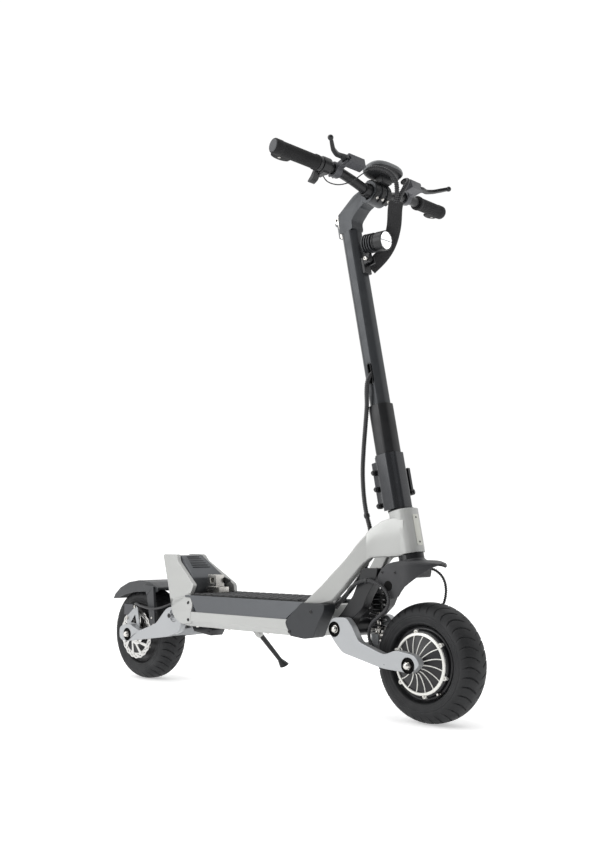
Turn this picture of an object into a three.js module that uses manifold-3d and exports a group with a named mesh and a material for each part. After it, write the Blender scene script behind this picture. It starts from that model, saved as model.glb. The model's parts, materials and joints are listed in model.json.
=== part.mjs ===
// Electric kick scooter with a folding stem, a motor in each wheel and a coil-sprung swingarm at each end.
// Millimetres. +X is forward, +Y is the rider's left and +Z is up. While it is built, the rear axle is
// at x = 0 and the ground is z = 0. The last lines slide the finished group so that the origin is the
// centre of the object's footprint, on the ground.
import * as THREE from 'three';
import { mergeVertices } from 'three/addons/utils/BufferGeometryUtils.js';
import Module from 'manifold-3d';

const wasm = await Module();
wasm.setup();

// ---------------------------------------------------------------- driving dimensions
const WHEEL_RADIUS = 127.5;
const TYRE_HALF = 40;
const BEAD_RADIUS = 80;
const TYRE_SIDES = 36;
const HUB_SIDES = 20;
const AXLE = 6;
const WHEELBASE = 990;
const AXLE_Z = WHEEL_RADIUS;

const ARM_INNER = 62;
const ARM_OUTER = 80;
const FRONT_PIVOT = { x: 784, z: 190 };
const REAR_PIVOT = { x: 208, z: 190 };
const PIVOT_SHAFT = 7;

const FRONT_SHOCK_TOP = { x: 836, z: 290 };
const FRONT_SHOCK_LOW = { x: 848, z: 172 };
const REAR_SHOCK_TOP = { x: 172, z: 280 };
const REAR_SHOCK_LOW = { x: 152, z: 164 };
const SHOCK_PIN = 4;
const SPRING_RADIUS = 16.5;
const WIRE = 3;

const TILT = THREE.MathUtils.degToRad(11.6);
const STEM = { x: 901, z: 461 };
const FOLD_PIN = { f: -13, s: 0 };
const FOLD_PIN_RADIUS = 4;
const HEAD_DROP = 12;
const HEAD_AHEAD = 15;
const HEAD_HEIGHT = 98;
const COLUMN = 16;
const NECK = 28;

const STEM_HALF = 22;
const STEM_TOP = 655;
const BLOCK_HALF = 30;
const BLOCK_TOP = 118;
const SLEEVE_TOP = 233;

const DECK_HALF = 96;
const DECK_BOTTOM = 167;
const RAIL_TOP = 205;
const DECK_TOP = 246;
const DECK_REAR = 262;
const DECK_FRONT = 700;
const LEAN = 0.32;

const BAR = { x: 843, z: 1178 };
const BAR_RADIUS = 11;
const BAR_CENTRE_RADIUS = 15.6;
const BAR_KNEE = new THREE.Vector3(831, 108, 1203);
const BAR_END = new THREE.Vector3(809, 293, 1215);

const GAP = 0.4;

// ---------------------------------------------------------------- materials
const finish = (color, roughness, metalness) => ({ color, roughness, metalness });
const SILVER = finish(0xb4b7b4, 0.42, 0.6);
const ARM_SILVER = finish(0x9ea1a2, 0.42, 0.6);
const DARK = finish(0x55585b, 0.45, 0.5);
const BLACK = finish(0x1d1e20, 0.5, 0.3);
const RUBBER = finish(0x26272a, 0.85, 0);
const STEEL = finish(0xc4c0b8, 0.25, 0.95);
const PLASTIC = finish(0x2b2c2f, 0.55, 0);
const CABLE = finish(0x18181a, 0.7, 0);
const LIGHT = finish(0x3a3b3e, 0.35, 0.4);
const CELLS = finish(0x2a4d7a, 0.6, 0);

// ---------------------------------------------------------------- solids
function solid(geometry) {
  const bare = geometry.clone();
  bare.deleteAttribute('normal');
  bare.deleteAttribute('uv');
  const merged = mergeVertices(bare, 1e-4);
  const vertProperties = new Float32Array(merged.attributes.position.array);
  const triVerts = new Uint32Array(merged.index.array);
  if (signedVolume(vertProperties, triVerts) < 0) {
    for (let i = 0; i < triVerts.length; i += 3) {
      [triVerts[i], triVerts[i + 1]] = [triVerts[i + 1], triVerts[i]];
    }
  }
  return new wasm.Manifold(new wasm.Mesh({ numProp: 3, vertProperties, triVerts }));
}

function signedVolume(points, triangles) {
  const at = (i) => new THREE.Vector3().fromArray(points, 3 * i);
  let volume = 0;
  for (let i = 0; i < triangles.length; i += 3) {
    const [a, b, c] = [at(triangles[i]), at(triangles[i + 1]), at(triangles[i + 2])];
    volume += a.dot(b.cross(c)) / 6;
  }
  return volume;
}

function geometryOf(manifold) {
  const mesh = manifold.getMesh();
  const geometry = new THREE.BufferGeometry();
  geometry.setAttribute('position', new THREE.BufferAttribute(new Float32Array(mesh.vertProperties), 3));
  geometry.setIndex(new THREE.BufferAttribute(new Uint32Array(mesh.triVerts), 1));
  return geometry;
}

const join = (first, ...others) => others.reduce((all, one) => all.add(one), first);
const cut = (first, ...tools) => tools.reduce((all, one) => all.subtract(one), first);

function boxGeometry([x0, x1], [y0, y1], [z0, z1]) {
  const box = new THREE.BoxGeometry(x1 - x0, y1 - y0, z1 - z0);
  return box.translate((x0 + x1) / 2, (y0 + y1) / 2, (z0 + z1) / 2);
}

const box = (x, y, z) => solid(boxGeometry(x, y, z));

// A closed outline whose corners are rounded by about the given radius.
function outline(points, radius = 0) {
  const shape = new THREE.Shape();
  const corners = points.map(([x, y]) => new THREE.Vector2(x, y));
  if (!radius) return shape.setFromPoints(corners);
  corners.forEach((corner, i) => {
    const before = corners.at(i - 1);
    const after = corners[(i + 1) % corners.length];
    const share = (end) => Math.min(radius, corner.distanceTo(end) * 0.45) / corner.distanceTo(end);
    const enter = corner.clone().lerp(before, share(before));
    const leave = corner.clone().lerp(after, share(after));
    if (i === 0) shape.moveTo(enter.x, enter.y);
    else shape.lineTo(enter.x, enter.y);
    shape.quadraticCurveTo(corner.x, corner.y, leave.x, leave.y);
  });
  shape.closePath();
  return shape;
}

// Extrudes an outline in the XZ plane from y0 to y1.
function slabGeometry(shape, y0, y1, curveSegments = 2) {
  const slab = new THREE.ExtrudeGeometry(shape, { depth: y1 - y0, bevelEnabled: false, curveSegments });
  return slab.rotateX(Math.PI / 2).translate(0, y1, 0);
}

const slab = (shape, y0, y1, curveSegments) => solid(slabGeometry(shape, y0, y1, curveSegments));

// Extrudes an outline in the XY plane from z0 to z1.
function plateGeometry(shape, z0, z1, curveSegments = 2) {
  const plate = new THREE.ExtrudeGeometry(shape, { depth: z1 - z0, bevelEnabled: false, curveSegments });
  return plate.translate(0, 0, z0);
}

const plate = (shape, z0, z1, curveSegments) => solid(plateGeometry(shape, z0, z1, curveSegments));

// A cylinder between two points.
function rodGeometry(a, b, radius, sides = 16, endRadius = radius) {
  const way = new THREE.Vector3().subVectors(b, a);
  const rod = new THREE.CylinderGeometry(endRadius, radius, way.length(), sides);
  rod.translate(0, way.length() / 2, 0);
  rod.applyQuaternion(new THREE.Quaternion().setFromUnitVectors(new THREE.Vector3(0, 1, 0), way.normalize()));
  return rod.translate(a.x, a.y, a.z);
}

const at = (x, y, z) => new THREE.Vector3(x, y, z);
const rod = (a, b, radius, sides, endRadius) => solid(rodGeometry(a, b, radius, sides, endRadius));
const crossRod = ({ x, z }, y0, y1, radius, sides) => rod(at(x, y0, z), at(x, y1, z), radius, sides);

// Revolves a closed profile of [radius, y] points about the Y axis.
function turnedGeometry(profile, sides) {
  const points = profile.map(([r, y]) => new THREE.Vector2(r, y));
  if (profile[0][0] > 0 || profile.at(-1)[0] > 0) points.push(points[0].clone());
  return new THREE.LatheGeometry(points, sides, Math.PI / sides);
}

function circle(radius, sides) {
  const points = [];
  for (let i = 0; i < sides; i++) {
    const angle = (2 * Math.PI * i) / sides;
    points.push(new THREE.Vector2(radius * Math.cos(angle), radius * Math.sin(angle)));
  }
  return new THREE.Shape(points);
}

// A round cord through the given points.
function cordGeometry(points, radius, spacing = 2.4 * 2 * radius, sides = 8) {
  const curve = new THREE.CatmullRomCurve3(points.map(([x, y, z]) => at(x, y, z)), false, 'centripetal');
  const steps = Math.max(4, Math.round(curve.getLength() / spacing));
  return new THREE.ExtrudeGeometry(circle(radius, sides), { steps, bevelEnabled: false, extrudePath: curve });
}

// Moves every vertex by a function of its place.
function bend(geometry, move) {
  const position = geometry.attributes.position;
  const point = new THREE.Vector3();
  for (let i = 0; i < position.count; i++) {
    point.fromBufferAttribute(position, i);
    move(point);
    position.setXYZ(i, point.x, point.y, point.z);
  }
  return geometry;
}

// Skins a row of sections, each the same number of points, and caps both ends.
function loft(sections) {
  const sides = sections[0].length;
  const index = [];
  for (let s = 0; s + 1 < sections.length; s++) {
    for (let i = 0; i < sides; i++) {
      const [a, b] = [s * sides + i, s * sides + ((i + 1) % sides)];
      index.push(a, b, b + sides, a, b + sides, a + sides);
    }
  }
  const last = (sections.length - 1) * sides;
  for (let i = 1; i + 1 < sides; i++) index.push(0, i + 1, i, last, last + i, last + i + 1);
  const geometry = new THREE.BufferGeometry().setFromPoints(sections.flat());
  geometry.setIndex(index);
  return solid(geometry);
}

// ---------------------------------------------------------------- frames and placing
const scooter = new THREE.Group();
const stem = new THREE.Group();
stem.position.set(STEM.x, 0, STEM.z);
stem.rotation.y = -TILT;
scooter.add(stem);

// Point on the stem's side view: f ahead of its centre line, s up from the hinge.
const stemLocal = ({ x, z }) => ({
  f: (x - STEM.x) * Math.cos(TILT) + (z - STEM.z) * Math.sin(TILT),
  s: (z - STEM.z) * Math.cos(TILT) - (x - STEM.x) * Math.sin(TILT),
});
const stemWorld = (f, s) => ({
  x: STEM.x + f * Math.cos(TILT) - s * Math.sin(TILT),
  z: STEM.z + f * Math.sin(TILT) + s * Math.cos(TILT),
});
const HEAD = stemWorld(HEAD_AHEAD, -HEAD_DROP);

// Turns a solid that was made upright about the steering axis into its tilted place.
const tilted = (geometry) => solid(geometry.clone().rotateY(-TILT).translate(HEAD.x, 0, HEAD.z));

function add(name, shape, { color, roughness, metalness }, parent = scooter) {
  const geometry = geometryOf(shape.isBufferGeometry ? solid(shape) : shape);
  const mesh = new THREE.Mesh(geometry, new THREE.MeshStandardMaterial({ color, roughness, metalness }));
  mesh.name = name;
  parent.add(mesh);
  return mesh;
}

const SIDES = [['right', -1], ['left', 1]];

// ---------------------------------------------------------------- wheels
function tyre(x) {
  const crown = WHEEL_RADIUS / Math.cos(Math.PI / TYRE_SIDES);
  const half = [[BEAD_RADIUS, 28], [89, 37], [105, TYRE_HALF], [118, 35], [125.4, 21]];
  const profile = [...half, [crown, 5], [crown, -5], ...half.map(([r, y]) => [r, -y]).reverse()];
  return turnedGeometry(profile, TYRE_SIDES).translate(x, 0, AXLE_Z);
}

// The motor's cover bulges on one side, and the brake disc's boss stands out on the other.
function hubMotor(x, discSide) {
  const bore = 9;
  const cover = [[bore, -55], [17, -55], [21, -49], [60, -38], [69, -36], [72, -30]];
  const rim = [[79.5, -30], [79.5, 30], [72, 30], [70, 27]];
  const boss = [[26, 30], [26, 45.4], [bore, 45.4]];
  const profile = [...cover, ...rim, ...boss].map(([r, y]) => [r, y * discSide]);
  return turnedGeometry(profile, HUB_SIDES).translate(x, 0, AXLE_Z);
}

function brakeDisc(x, side) {
  const [outer, ringInner, spider, bore, windows] = [70, 55, 27, 9, 5];
  const disc = new THREE.Shape();
  disc.absarc(0, 0, outer, 0, 2 * Math.PI);
  disc.holes.push(new THREE.Path().absarc(0, 0, bore, 0, 2 * Math.PI));
  for (let i = 0; i < windows; i++) {
    const start = (2 * Math.PI * i) / windows;
    const window = new THREE.Path();
    window.absarc(0, 0, ringInner, start, start + 0.95);
    window.absarc(0, 0, spider, start + 1.1, start + 0.5, true);
    window.closePath();
    disc.holes.push(window);
  }
  const [near, far] = [46 * side, 49.5 * side].sort((a, b) => a - b);
  return slab(disc, near, far, 4).translate([x, 0, AXLE_Z]);
}

// A plain axle with a washer and a domed nut at each end.
function axle(x) {
  const washer = [[AXLE, 75.4], [14, 75.4], [14, 77.4]];
  const end = [...washer, [10.5, 77.4], [10.5, 86], [6, 91], [0, 91.5]];
  const profile = [...end.map(([r, y]) => [r, -y]).reverse(), ...end];
  return turnedGeometry(profile, 12).translate(x, 0, AXLE_Z);
}

// ---------------------------------------------------------------- suspension
const POCKET = 17;
const POCKET_DEPTH = 5;

// Cuts the round pockets and the axle hole in an arm's outer face.
function armPockets(arm, pivot, wheelX) {
  const tools = SIDES.flatMap(([, side]) => {
    const [outer, floor] = [side * (ARM_OUTER + 1), side * (ARM_OUTER - POCKET_DEPTH)];
    return [{ x: wheelX, z: AXLE_Z }, pivot].map((centre) => crossRod(centre, outer, floor, POCKET, 18));
  });
  return cut(arm, ...tools, crossRod({ x: wheelX, z: AXLE_Z }, -90, 90, AXLE + GAP + 0.3, 14));
}

// Two ears with a pin between them, standing on the face at height z.
function shockEars(pin, z, depth = 10) {
  const [inner, outer] = [12, 17];
  const reach = Math.sign(z - pin.z) * (depth - 2);
  const [z0, z1] = [z, pin.z - reach].sort((a, b) => a - b);
  const ears = SIDES.map(([, side]) => {
    const y = [side * inner, side * outer].sort((a, b) => a - b);
    return box([pin.x - depth, pin.x + depth], y, [z0, z1]);
  });
  return join(...ears, crossRod(pin, -outer - 2, outer + 2, SHOCK_PIN, 16));
}

function frontSwingarm() {
  const side = outline([
    [770, 180], [768, 202], [780, 216], [820, 217], [836, 200], [856, 167], [925, 145], [958, 157],
    [1008, 150], [1022, 132], [1000, 112], [920, 116], [808, 140], [786, 160],
  ], 8);
  const plates = SIDES.map(([, s]) => slab(side, ...[s * ARM_INNER, s * ARM_OUTER].sort((a, b) => a - b)));
  const bridge = box([812, 850], [-ARM_INNER - 1, ARM_INNER + 1], [138, 158]);
  const shaft = crossRod(FRONT_PIVOT, -ARM_OUTER - 3, ARM_OUTER + 3, PIVOT_SHAFT);
  const arm = armPockets(join(...plates, bridge, shockEars(FRONT_SHOCK_LOW, 157)), FRONT_PIVOT, WHEELBASE);
  return join(arm, shaft);
}

function rearSwingarm() {
  const side = outline([
    [-37, 119], [-37, 144], [-21, 152], [9, 157], [54, 140], [131, 165], [174, 205], [192, 212],
    [221, 210], [237, 192], [240, 165], [228, 148], [186, 133], [0, 108], [-27, 110],
  ], 8);
  const plates = SIDES.map(([, s]) => slab(side, ...[s * ARM_INNER, s * ARM_OUTER].sort((a, b) => a - b)));
  const bridge = box([138, 172], [-ARM_INNER - 1, ARM_INNER + 1], [132, 150]);
  const tube = crossRod(REAR_PIVOT, -ARM_INNER - 1, ARM_INNER + 1, 17);
  const stopArm = slab(outline([[205, 178], [222, 148], [288, 141], [296, 152], [262, 161], [228, 178]], 6), -18, 18);
  const shaft = crossRod(REAR_PIVOT, -DECK_HALF + 2, DECK_HALF - 2, PIVOT_SHAFT);
  const solids = join(...plates, bridge, shockEars(REAR_SHOCK_LOW, 149), tube, stopArm);
  return join(armPockets(solids, REAR_PIVOT, 0), shaft);
}

// A damper's fixed half hangs from the top pin, and its rod ends in an eye round the lower pin.
// The lower eye is open by more than the pin, because the linkage is opened there.
function shockAxis(top, low) {
  const [a, b] = [at(top.x, 0, top.z), at(low.x, 0, low.z)];
  const length = a.distanceTo(b);
  return { a, b, length, point: (t) => a.clone().lerp(b, t / length) };
}

function shockBody({ a, length, point }) {
  const eye = crossRod(a, -11, 11, 10);
  const cap = rod(point(14), point(20), 19.5, 18);
  const damper = rod(point(7), point(length * 0.55), 9, 14);
  const bore = rod(point(length * 0.24), point(length * 0.6), 6.6, 12);
  return cut(join(eye, cap, damper), crossRod(a, -12, 12, SHOCK_PIN + GAP, 16), bore);
}

function shockRod({ b, length, point }) {
  const eye = crossRod(b, -11, 11, 11);
  const seat = rod(point(length - 19), point(length - 14), 19.5, 18);
  const shaft = rod(point(length * 0.38), point(length - 8), 5.5, 12);
  return cut(join(eye, seat, shaft), crossRod(b, -12, 12, SHOCK_PIN + 2.5, 16));
}

function shockSpring({ a, length, point }) {
  const [start, end, turns, steps] = [20 + WIRE + GAP, length - 19 - WIRE - GAP, 5, 40];
  const points = [];
  for (let i = 0; i <= steps; i++) {
    const angle = (2 * Math.PI * turns * i) / steps;
    const along = start + ((end - start) * i) / steps;
    points.push(at(SPRING_RADIUS * Math.cos(angle), SPRING_RADIUS * Math.sin(angle), along));
  }
  const curve = new THREE.CatmullRomCurve3(points);
  const coil = new THREE.ExtrudeGeometry(circle(WIRE, 8), { steps, bevelEnabled: false, extrudePath: curve });
  const down = point(length).sub(a).normalize();
  coil.applyQuaternion(new THREE.Quaternion().setFromUnitVectors(at(0, 0, 1), down));
  return coil.translate(a.x, a.y, a.z);
}

function addShock(end, top, low) {
  const line = shockAxis(top, low);
  add(`${end}_shock_body`, shockBody(line), BLACK);
  add(`${end}_shock_rod`, shockRod(line), STEEL);
  add(`${end}_spring`, solid(shockSpring(line)), BLACK);
}

// ---------------------------------------------------------------- fork
// Made upright about the steering axis: x ahead of it, z up from the head's top face.
function steeringColumn() {
  const pin = { x: FOLD_PIN.f - HEAD_AHEAD, z: HEAD_DROP };
  const shaft = rodGeometry(at(0, 0, -HEAD_HEIGHT - 4), at(0, 0, 2), COLUMN, 20);
  const neck = rodGeometry(at(0, 0, -HEAD_HEIGHT - 30), at(0, 0, -HEAD_HEIGHT - 0.6), NECK, 24);
  const flange = rodGeometry(at(-4, 0, 0.5), at(-4, 0, 3.4), 26, 20);
  const ear = slabGeometry(outline([
    [pin.x - 8, 0.6], [pin.x - 8, pin.z + 2], [pin.x - 5, pin.z + 7], [pin.x + 5, pin.z + 7],
    [pin.x + 9, pin.z], [pin.x + 22, 3], [pin.x + 22, 0.6],
  ]), -10, 10);
  const hole = rodGeometry(at(pin.x, -12, pin.z), at(pin.x, 12, pin.z), FOLD_PIN_RADIUS + GAP, 16);
  return cut(join(tilted(shaft), tilted(neck), tilted(flange), tilted(ear)), tilted(hole));
}

function frontFork() {
  const leg = outline([
    [768, 172], [761, 190], [768, 210], [784, 224], [818, 264], [838, 303], [840, 318], [852, 326], [890, 326],
    [884, 300], [858, 262], [846, 238], [818, 214], [806, 184], [790, 170],
  ], 5);
  const legs = SIDES.map(([, s]) => slab(leg, ...[s * 30, s * 56].sort((a, b) => a - b)));
  const crown = slab(outline([[826, 300], [826, 305], [850, 322], [870, 326], [962, 328], [958, 306], [930, 304]], 3), -44, 44);
  const tube = crossRod(FRONT_PIVOT, -58, 58, 20, 20);
  const fork = join(...legs, crown, tube, shockEars(FRONT_SHOCK_TOP, 305), steeringColumn());
  return cut(fork, crossRod(FRONT_PIVOT, -60, 60, PIVOT_SHAFT + GAP));
}

function frontMudguard() {
  const outer = outline([
    [1032, 334], [988, 305], [962, 286], [946, 264], [927, 261], [890, 300], [894, 320], [914, 338],
    [955, 343], [1010, 340],
  ], 4);
  const inside = outline([[1045, 327], [1008, 333], [955, 337.6], [915, 332.8], [880, 331], [880, 250], [1045, 250]]);
  const plan = outline([
    [880, -58], [975, -58], [1015, -40], [1033, -12], [1033, 12], [1015, 40], [975, 58], [880, 58],
  ], 14);
  const opening = crossRod({ x: 922, z: 288 }, -70, 70, 11);
  const collar = rodGeometry(at(0, 0, -HEAD_HEIGHT - 60), at(0, 0, -HEAD_HEIGHT), NECK + GAP + 0.3, 24);
  const shell = slab(outer, -58, 58).intersect(plate(plan, 240, 360));
  return cut(shell, slab(inside, -53, 53), opening, tilted(collar));
}

// ---------------------------------------------------------------- frame
// Height of the beam's edges and the place of its outer face at each station along the frame.
const BEAM = [
  { x: 690, low: 236, up: 240, y: 92 }, { x: 700, low: 236, up: 246, y: 92 },
  { x: 742, low: 240, up: 287, y: 79 }, { x: 764, low: 246, up: 311, y: 72 },
  { x: 795, low: 280, up: 343, y: 62 }, { x: 831, low: 322, up: 386, y: 51 },
  { x: 857, low: 350, up: 413, y: 42 }, { x: 880, low: 360, up: 429, y: 35 }, { x: 905, low: 366, up: 434, y: 27 },
];
const BEAM_WIDTH = 22;
const BEAM_EDGE = 5;

function beam(side) {
  const sections = BEAM.map(({ x, low, up, y }) => {
    const edge = Math.min(BEAM_EDGE, (up - low) / 3);
    const [outer, inner] = [y, y - BEAM_WIDTH];
    const ring = [
      [outer, low + edge], [outer, up - edge], [outer - edge, up], [inner + edge, up],
      [inner, up - edge], [inner, low + edge], [inner + edge, low], [outer - edge, low],
    ];
    return ring.map(([py, pz]) => at(x, side * py, pz));
  });
  return loft(sections);
}

function headCasting() {
  const barrel = outline([[29, -18], [29, 18], [10, 31], [-18, 28], [-33, 13], [-33, -13], [-18, -28], [10, -31]], 14);
  const tube = tilted(plateGeometry(barrel, -HEAD_HEIGHT, 0, 3));
  const bore = tilted(rodGeometry(at(0, 0, -HEAD_HEIGHT - 2), at(0, 0, 2), COLUMN + 0.9, 20));
  const slope = slab(outline([[820, 470], [820, 375], [889, 447], [893, 470]]), -60, 60);
  const body = cut(tube, slope);
  const top = tilted(boxGeometry([-120, 60], [-70, 70], [0, 60]));
  return cut(join(body, beam(-1), beam(1)), bore, top);
}

const CORNER = [
  [698, 245.6], [770, 244], [768, 229], [752, 203], [735, 168], [706, 164], [662, 168], [646, 196], [649, 204],
];

function cornerBracket(side) {
  const y = [side * 58, side * 97].sort((a, b) => a - b);
  const block = slab(outline(CORNER, 5), ...y);
  const foot = beam(side);
  return cut(block, foot);
}

function deckTray() {
  const half = [[DECK_HALF, RAIL_TOP], [DECK_HALF, 182], [80, DECK_BOTTOM]];
  const section = outline([...half, ...half.map(([y, z]) => [-y, z]).reverse()]);
  const trough = sectionAlongX(section, DECK_REAR, DECK_FRONT);
  const hollow = box([DECK_REAR + 9, DECK_FRONT - 12], [-84, 84], [DECK_BOTTOM + 6, 300]);
  const front = box([DECK_FRONT - 12, DECK_FRONT + 34], [-56, 56], [DECK_BOTTOM + 2, 238]);
  const nose = slab(outline([[660, 160], [722, 160], [742, 250], [660, 250]]), -57, 57);
  const corners = SIDES.map(([, s]) => slab(outline(grown(CORNER, GAP), 5), ...[s * 57.5, s * 100].sort((a, b) => a - b)));
  const rearWall = box([DECK_REAR, DECK_REAR + 9], [-76, 76], [190, 240.6]);
  const fins = SIDES.map(([, s]) => finSolid(s, GAP));
  return join(cut(join(trough, rearWall), hollow, ...corners, ...fins), cut(front.intersect(nose), ...corners), kickstandBoss());
}

function sectionAlongX(shape, x0, x1) {
  const bar = new THREE.ExtrudeGeometry(shape, { depth: x1 - x0, bevelEnabled: false, curveSegments: 3 });
  bar.applyMatrix4(new THREE.Matrix4().makeBasis(at(0, 1, 0), at(0, 0, 1), at(1, 0, 0)));
  return solid(bar.translate(x0, 0, 0));
}

// Moves each edge of an outline outwards by the given distance.
function grown(points, by) {
  const corners = points.map(([x, y]) => new THREE.Vector2(x, y));
  const turn = THREE.ShapeUtils.area(corners) > 0 ? 1 : -1;
  const normal = (a, b) => new THREE.Vector2(b.y - a.y, a.x - b.x).normalize().multiplyScalar(turn);
  return corners.map((corner, i) => {
    const before = normal(corners.at(i - 1), corner);
    const after = normal(corner, corners[(i + 1) % corners.length]);
    const shift = before.clone().add(after).multiplyScalar(by / (1 + before.dot(after)));
    return corner.clone().add(shift).toArray();
  });
}

function deckCover() {
  const half = [[96, RAIL_TOP + GAP], [86, DECK_TOP]];
  const inner = [[79, 241], [88, RAIL_TOP + GAP]];
  const mirrored = (points) => points.map(([y, z]) => [-y, z]).reverse();
  const section = outline([...half, ...mirrored(half), ...mirrored(inner), ...inner]);
  const ends = slab(outline([[264, 247], [695, 247], [646, 205], [321, 205], [287, 240.9], [264, 240.9]]), -100, 100);
  const brackets = SIDES.map(([, s]) => slab(outline(grown(CORNER, GAP)), ...[s * 57, s * 100].sort((a, b) => a - b)));
  const cover = sectionAlongX(section, 262, DECK_FRONT).intersect(ends);
  return cut(cover, ...brackets, ...SIDES.map(([, s]) => finSolid(s, GAP)), beam(1), beam(-1));
}

function deckMat() {
  const plan = outline([[284, -80], [672, -80], [690, -66], [690, 66], [672, 80], [284, 80]], 8);
  return plate(plan, DECK_TOP + 0.3, DECK_TOP + 4.3);
}

// The side casting at the tail: upright at the deck and leaning inwards above it.
function finSolid(side, margin = 0) {
  const points = [
    [122, 350], [183, 350], [192, 333], [285, 271], [279, 246], [300, 222], [300, 176], [262, 172],
    [232, 186], [219, 209], [171, 279],
  ];
  const y = [side * (83 - margin), side * (DECK_HALF + margin)].sort((a, b) => a - b);
  const shape = outline(margin ? grown(points, margin) : points, 6);
  const lean = (p) => { p.y -= side * LEAN * (p.z - RAIL_TOP); };
  const lower = slab(shape, ...y).intersect(box([0, 400], [-200, 200], [0, RAIL_TOP + 0.01]));
  const upper = solid(bend(slabGeometry(shape, ...y), lean)).intersect(box([0, 400], [-200, 200], [RAIL_TOP, 400]));
  return join(lower, upper);
}

const rearFin = (side) => cut(finSolid(side), crossRod(REAR_PIVOT, -110, 110, PIVOT_SHAFT + GAP));

function kickplate() {
  const side = outline([
    [126, 347], [184, 347], [200, 336], [228, 314], [257, 290], [257, 249], [245, 249], [245, 284],
    [218, 304], [180, 334], [132, 334],
  ], 4);
  const taper = (p) => { p.y *= (67 - LEAN * (p.z - 249)) / 67; };
  const panel = bend(slabGeometry(side, -66.5, 66.5), taper);
  const rib = box([245.5, 252], [-22, 22], [250, 262]);
  const mount = shockEars(REAR_SHOCK_TOP, 305);
  const hanger = box([162, 182], [-17, 17], [290, 335]);
  return join(solid(panel), rib, hanger, cut(mount, box([150, 200], [-12, 12], [292, 320])));
}

const LATCH_PIN = { x: 298, z: 282 };

function latchBase() {
  const foot = box([264, 320], [-16, 16], [DECK_TOP + 4.6, 266]);
  const tower = box([268, 304], [-13, 13], [265, 297]);
  const hole = box([279, 292], [-20, 20], [276, 289]);
  return join(cut(join(foot, tower), hole), crossRod(LATCH_PIN, 12, 22, 2.5, 10));
}

function latchLever() {
  const blade = slab(outline([[288, 275], [288, 290], [304, 291], [324, 284], [323, 278], [306, 275]], 4), 13.5, 19);
  return cut(blade, crossRod(LATCH_PIN, 10, 24, 2.9, 12));
}

// ---------------------------------------------------------------- kickstand
// The leg swings in one plane from its standing direction to its folded one, about the plane's normal.
const KICKSTAND = (() => {
  const pivot = at(378, 74, 146);
  const down = at(0.074, 0.539, -0.842).normalize();
  const stowed = at(-0.975, 0.12, -0.17).normalize();
  const axis = stowed.clone().cross(down).normalize();
  return { pivot, down, axis, length: 135, swing: THREE.MathUtils.radToDeg(stowed.angleTo(down)) };
})();

const outFromPivot = (distance) => KICKSTAND.pivot.clone().addScaledVector(KICKSTAND.axis, -distance);

function kickstandBoss() {
  const boss = rod(outFromPivot(-11), outFromPivot(1.2), 10);
  const block = box([366, 390], [52, 68], [149, 168]);
  const bolt = rod(outFromPivot(0), outFromPivot(18), 4, 12);
  const head = rod(outFromPivot(16.6), outFromPivot(20), 7, 14);
  return join(boss, block, bolt, head);
}

function kickstandLeg() {
  const { down, length } = KICKSTAND;
  const along = (distance) => outFromPivot(9).addScaledVector(down, distance);
  const hub = cut(rod(outFromPivot(2), outFromPivot(16), 9, 18), rod(outFromPivot(0), outFromPivot(20), 4.4, 14));
  const leg = rod(along(7), along(length - 14), 6.5, 12, 5.5);
  const shoe = rod(along(length - 22), along(length), 6, 16, 12);
  return join(hub, leg, shoe);
}

// ---------------------------------------------------------------- stem
// Made in the stem's own frame: x ahead of its centre line and z up it from the hinge.
const octagon = (half, chamfer, corner = 4) => {
  const c = half - chamfer;
  return outline([[half, -c], [half, c], [c, half], [-c, half], [-half, c], [-half, -c], [-c, -half], [c, -half]], corner);
};

function stemTube() {
  const [bottom, wall] = [62, 3];
  const tube = plate(octagon(STEM_HALF, 12), bottom, STEM_TOP);
  const hollow = plate(octagon(STEM_HALF - wall, 11), bottom - 1, STEM_TOP + 1);
  const slot = solid(slabGeometry(outline([[-4, 282], [10, 282], [10, 330], [-4, 330]], 7), -40, -10));
  return cut(tube, hollow, slot);
}

function foldBlock() {
  const groove = 3.2;
  const [h, c] = [BLOCK_HALF, 13];
  const quarter = [[h, c], [h - 2, c + 4], [h - 7 - groove, h - 7 - groove], [c + 4, h - 2], [c, h]];
  const turn = (k) => quarter.map(([x, y]) => new THREE.Vector2(x, y).rotateAround(new THREE.Vector2(), (k * Math.PI) / 2));
  const section = outline([0, 1, 2, 3].flatMap((k) => turn(k).map((p) => [p.x, p.y])), 2);
  const rear = outline([
    [40, -8], [-13, -8], [-17.5, -6.4], [-20.2, -3.4], [-21, 1], [-24, 4], [-44, 14], [-44, 104],
    [-33, 130], [40, 130],
  ]);
  const ears = SIDES.map(([, s]) => box([-43, -20], [s * 2, s * 13].sort((a, b) => a - b), [-8, 108]));
  const body = join(plate(section, -8, BLOCK_TOP), ...ears).intersect(slab(rear, -50, 50));
  const bore = plate(octagon(STEM_HALF + 0.3, 12), 61.6, BLOCK_TOP + 2);
  const knuckleSlot = box([-60, 12], [-10.6, 10.6], [-12, 10.5]);
  const split = box([-60, -20], [-2, 2], [-10, BLOCK_TOP + 5]);
  const pin = rod(at(FOLD_PIN.f, -24, FOLD_PIN.s), at(FOLD_PIN.f, 24, FOLD_PIN.s), FOLD_PIN_RADIUS, 16);
  return join(cut(body, bore, knuckleSlot, split), pin, foldLeverMount());
}

function safetySleeve() {
  const outer = plate(octagon(26, 13, 6), BLOCK_TOP + 1, SLEEVE_TOP);
  return cut(outer, plate(octagon(STEM_HALF + GAP, 12), 0, 400));
}

const FOLD_LEVER = { y: 38, s: 30 };

// The lever's cam turns on a pin that stands on the block's left side.
function foldLeverMount() {
  const ear = box([-4, 1.4], [27, 44], [FOLD_LEVER.s - 8, FOLD_LEVER.s + 8]);
  return join(ear, rod(at(0, FOLD_LEVER.y, FOLD_LEVER.s), at(25, FOLD_LEVER.y, FOLD_LEVER.s), 2.5, 10));
}

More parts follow.
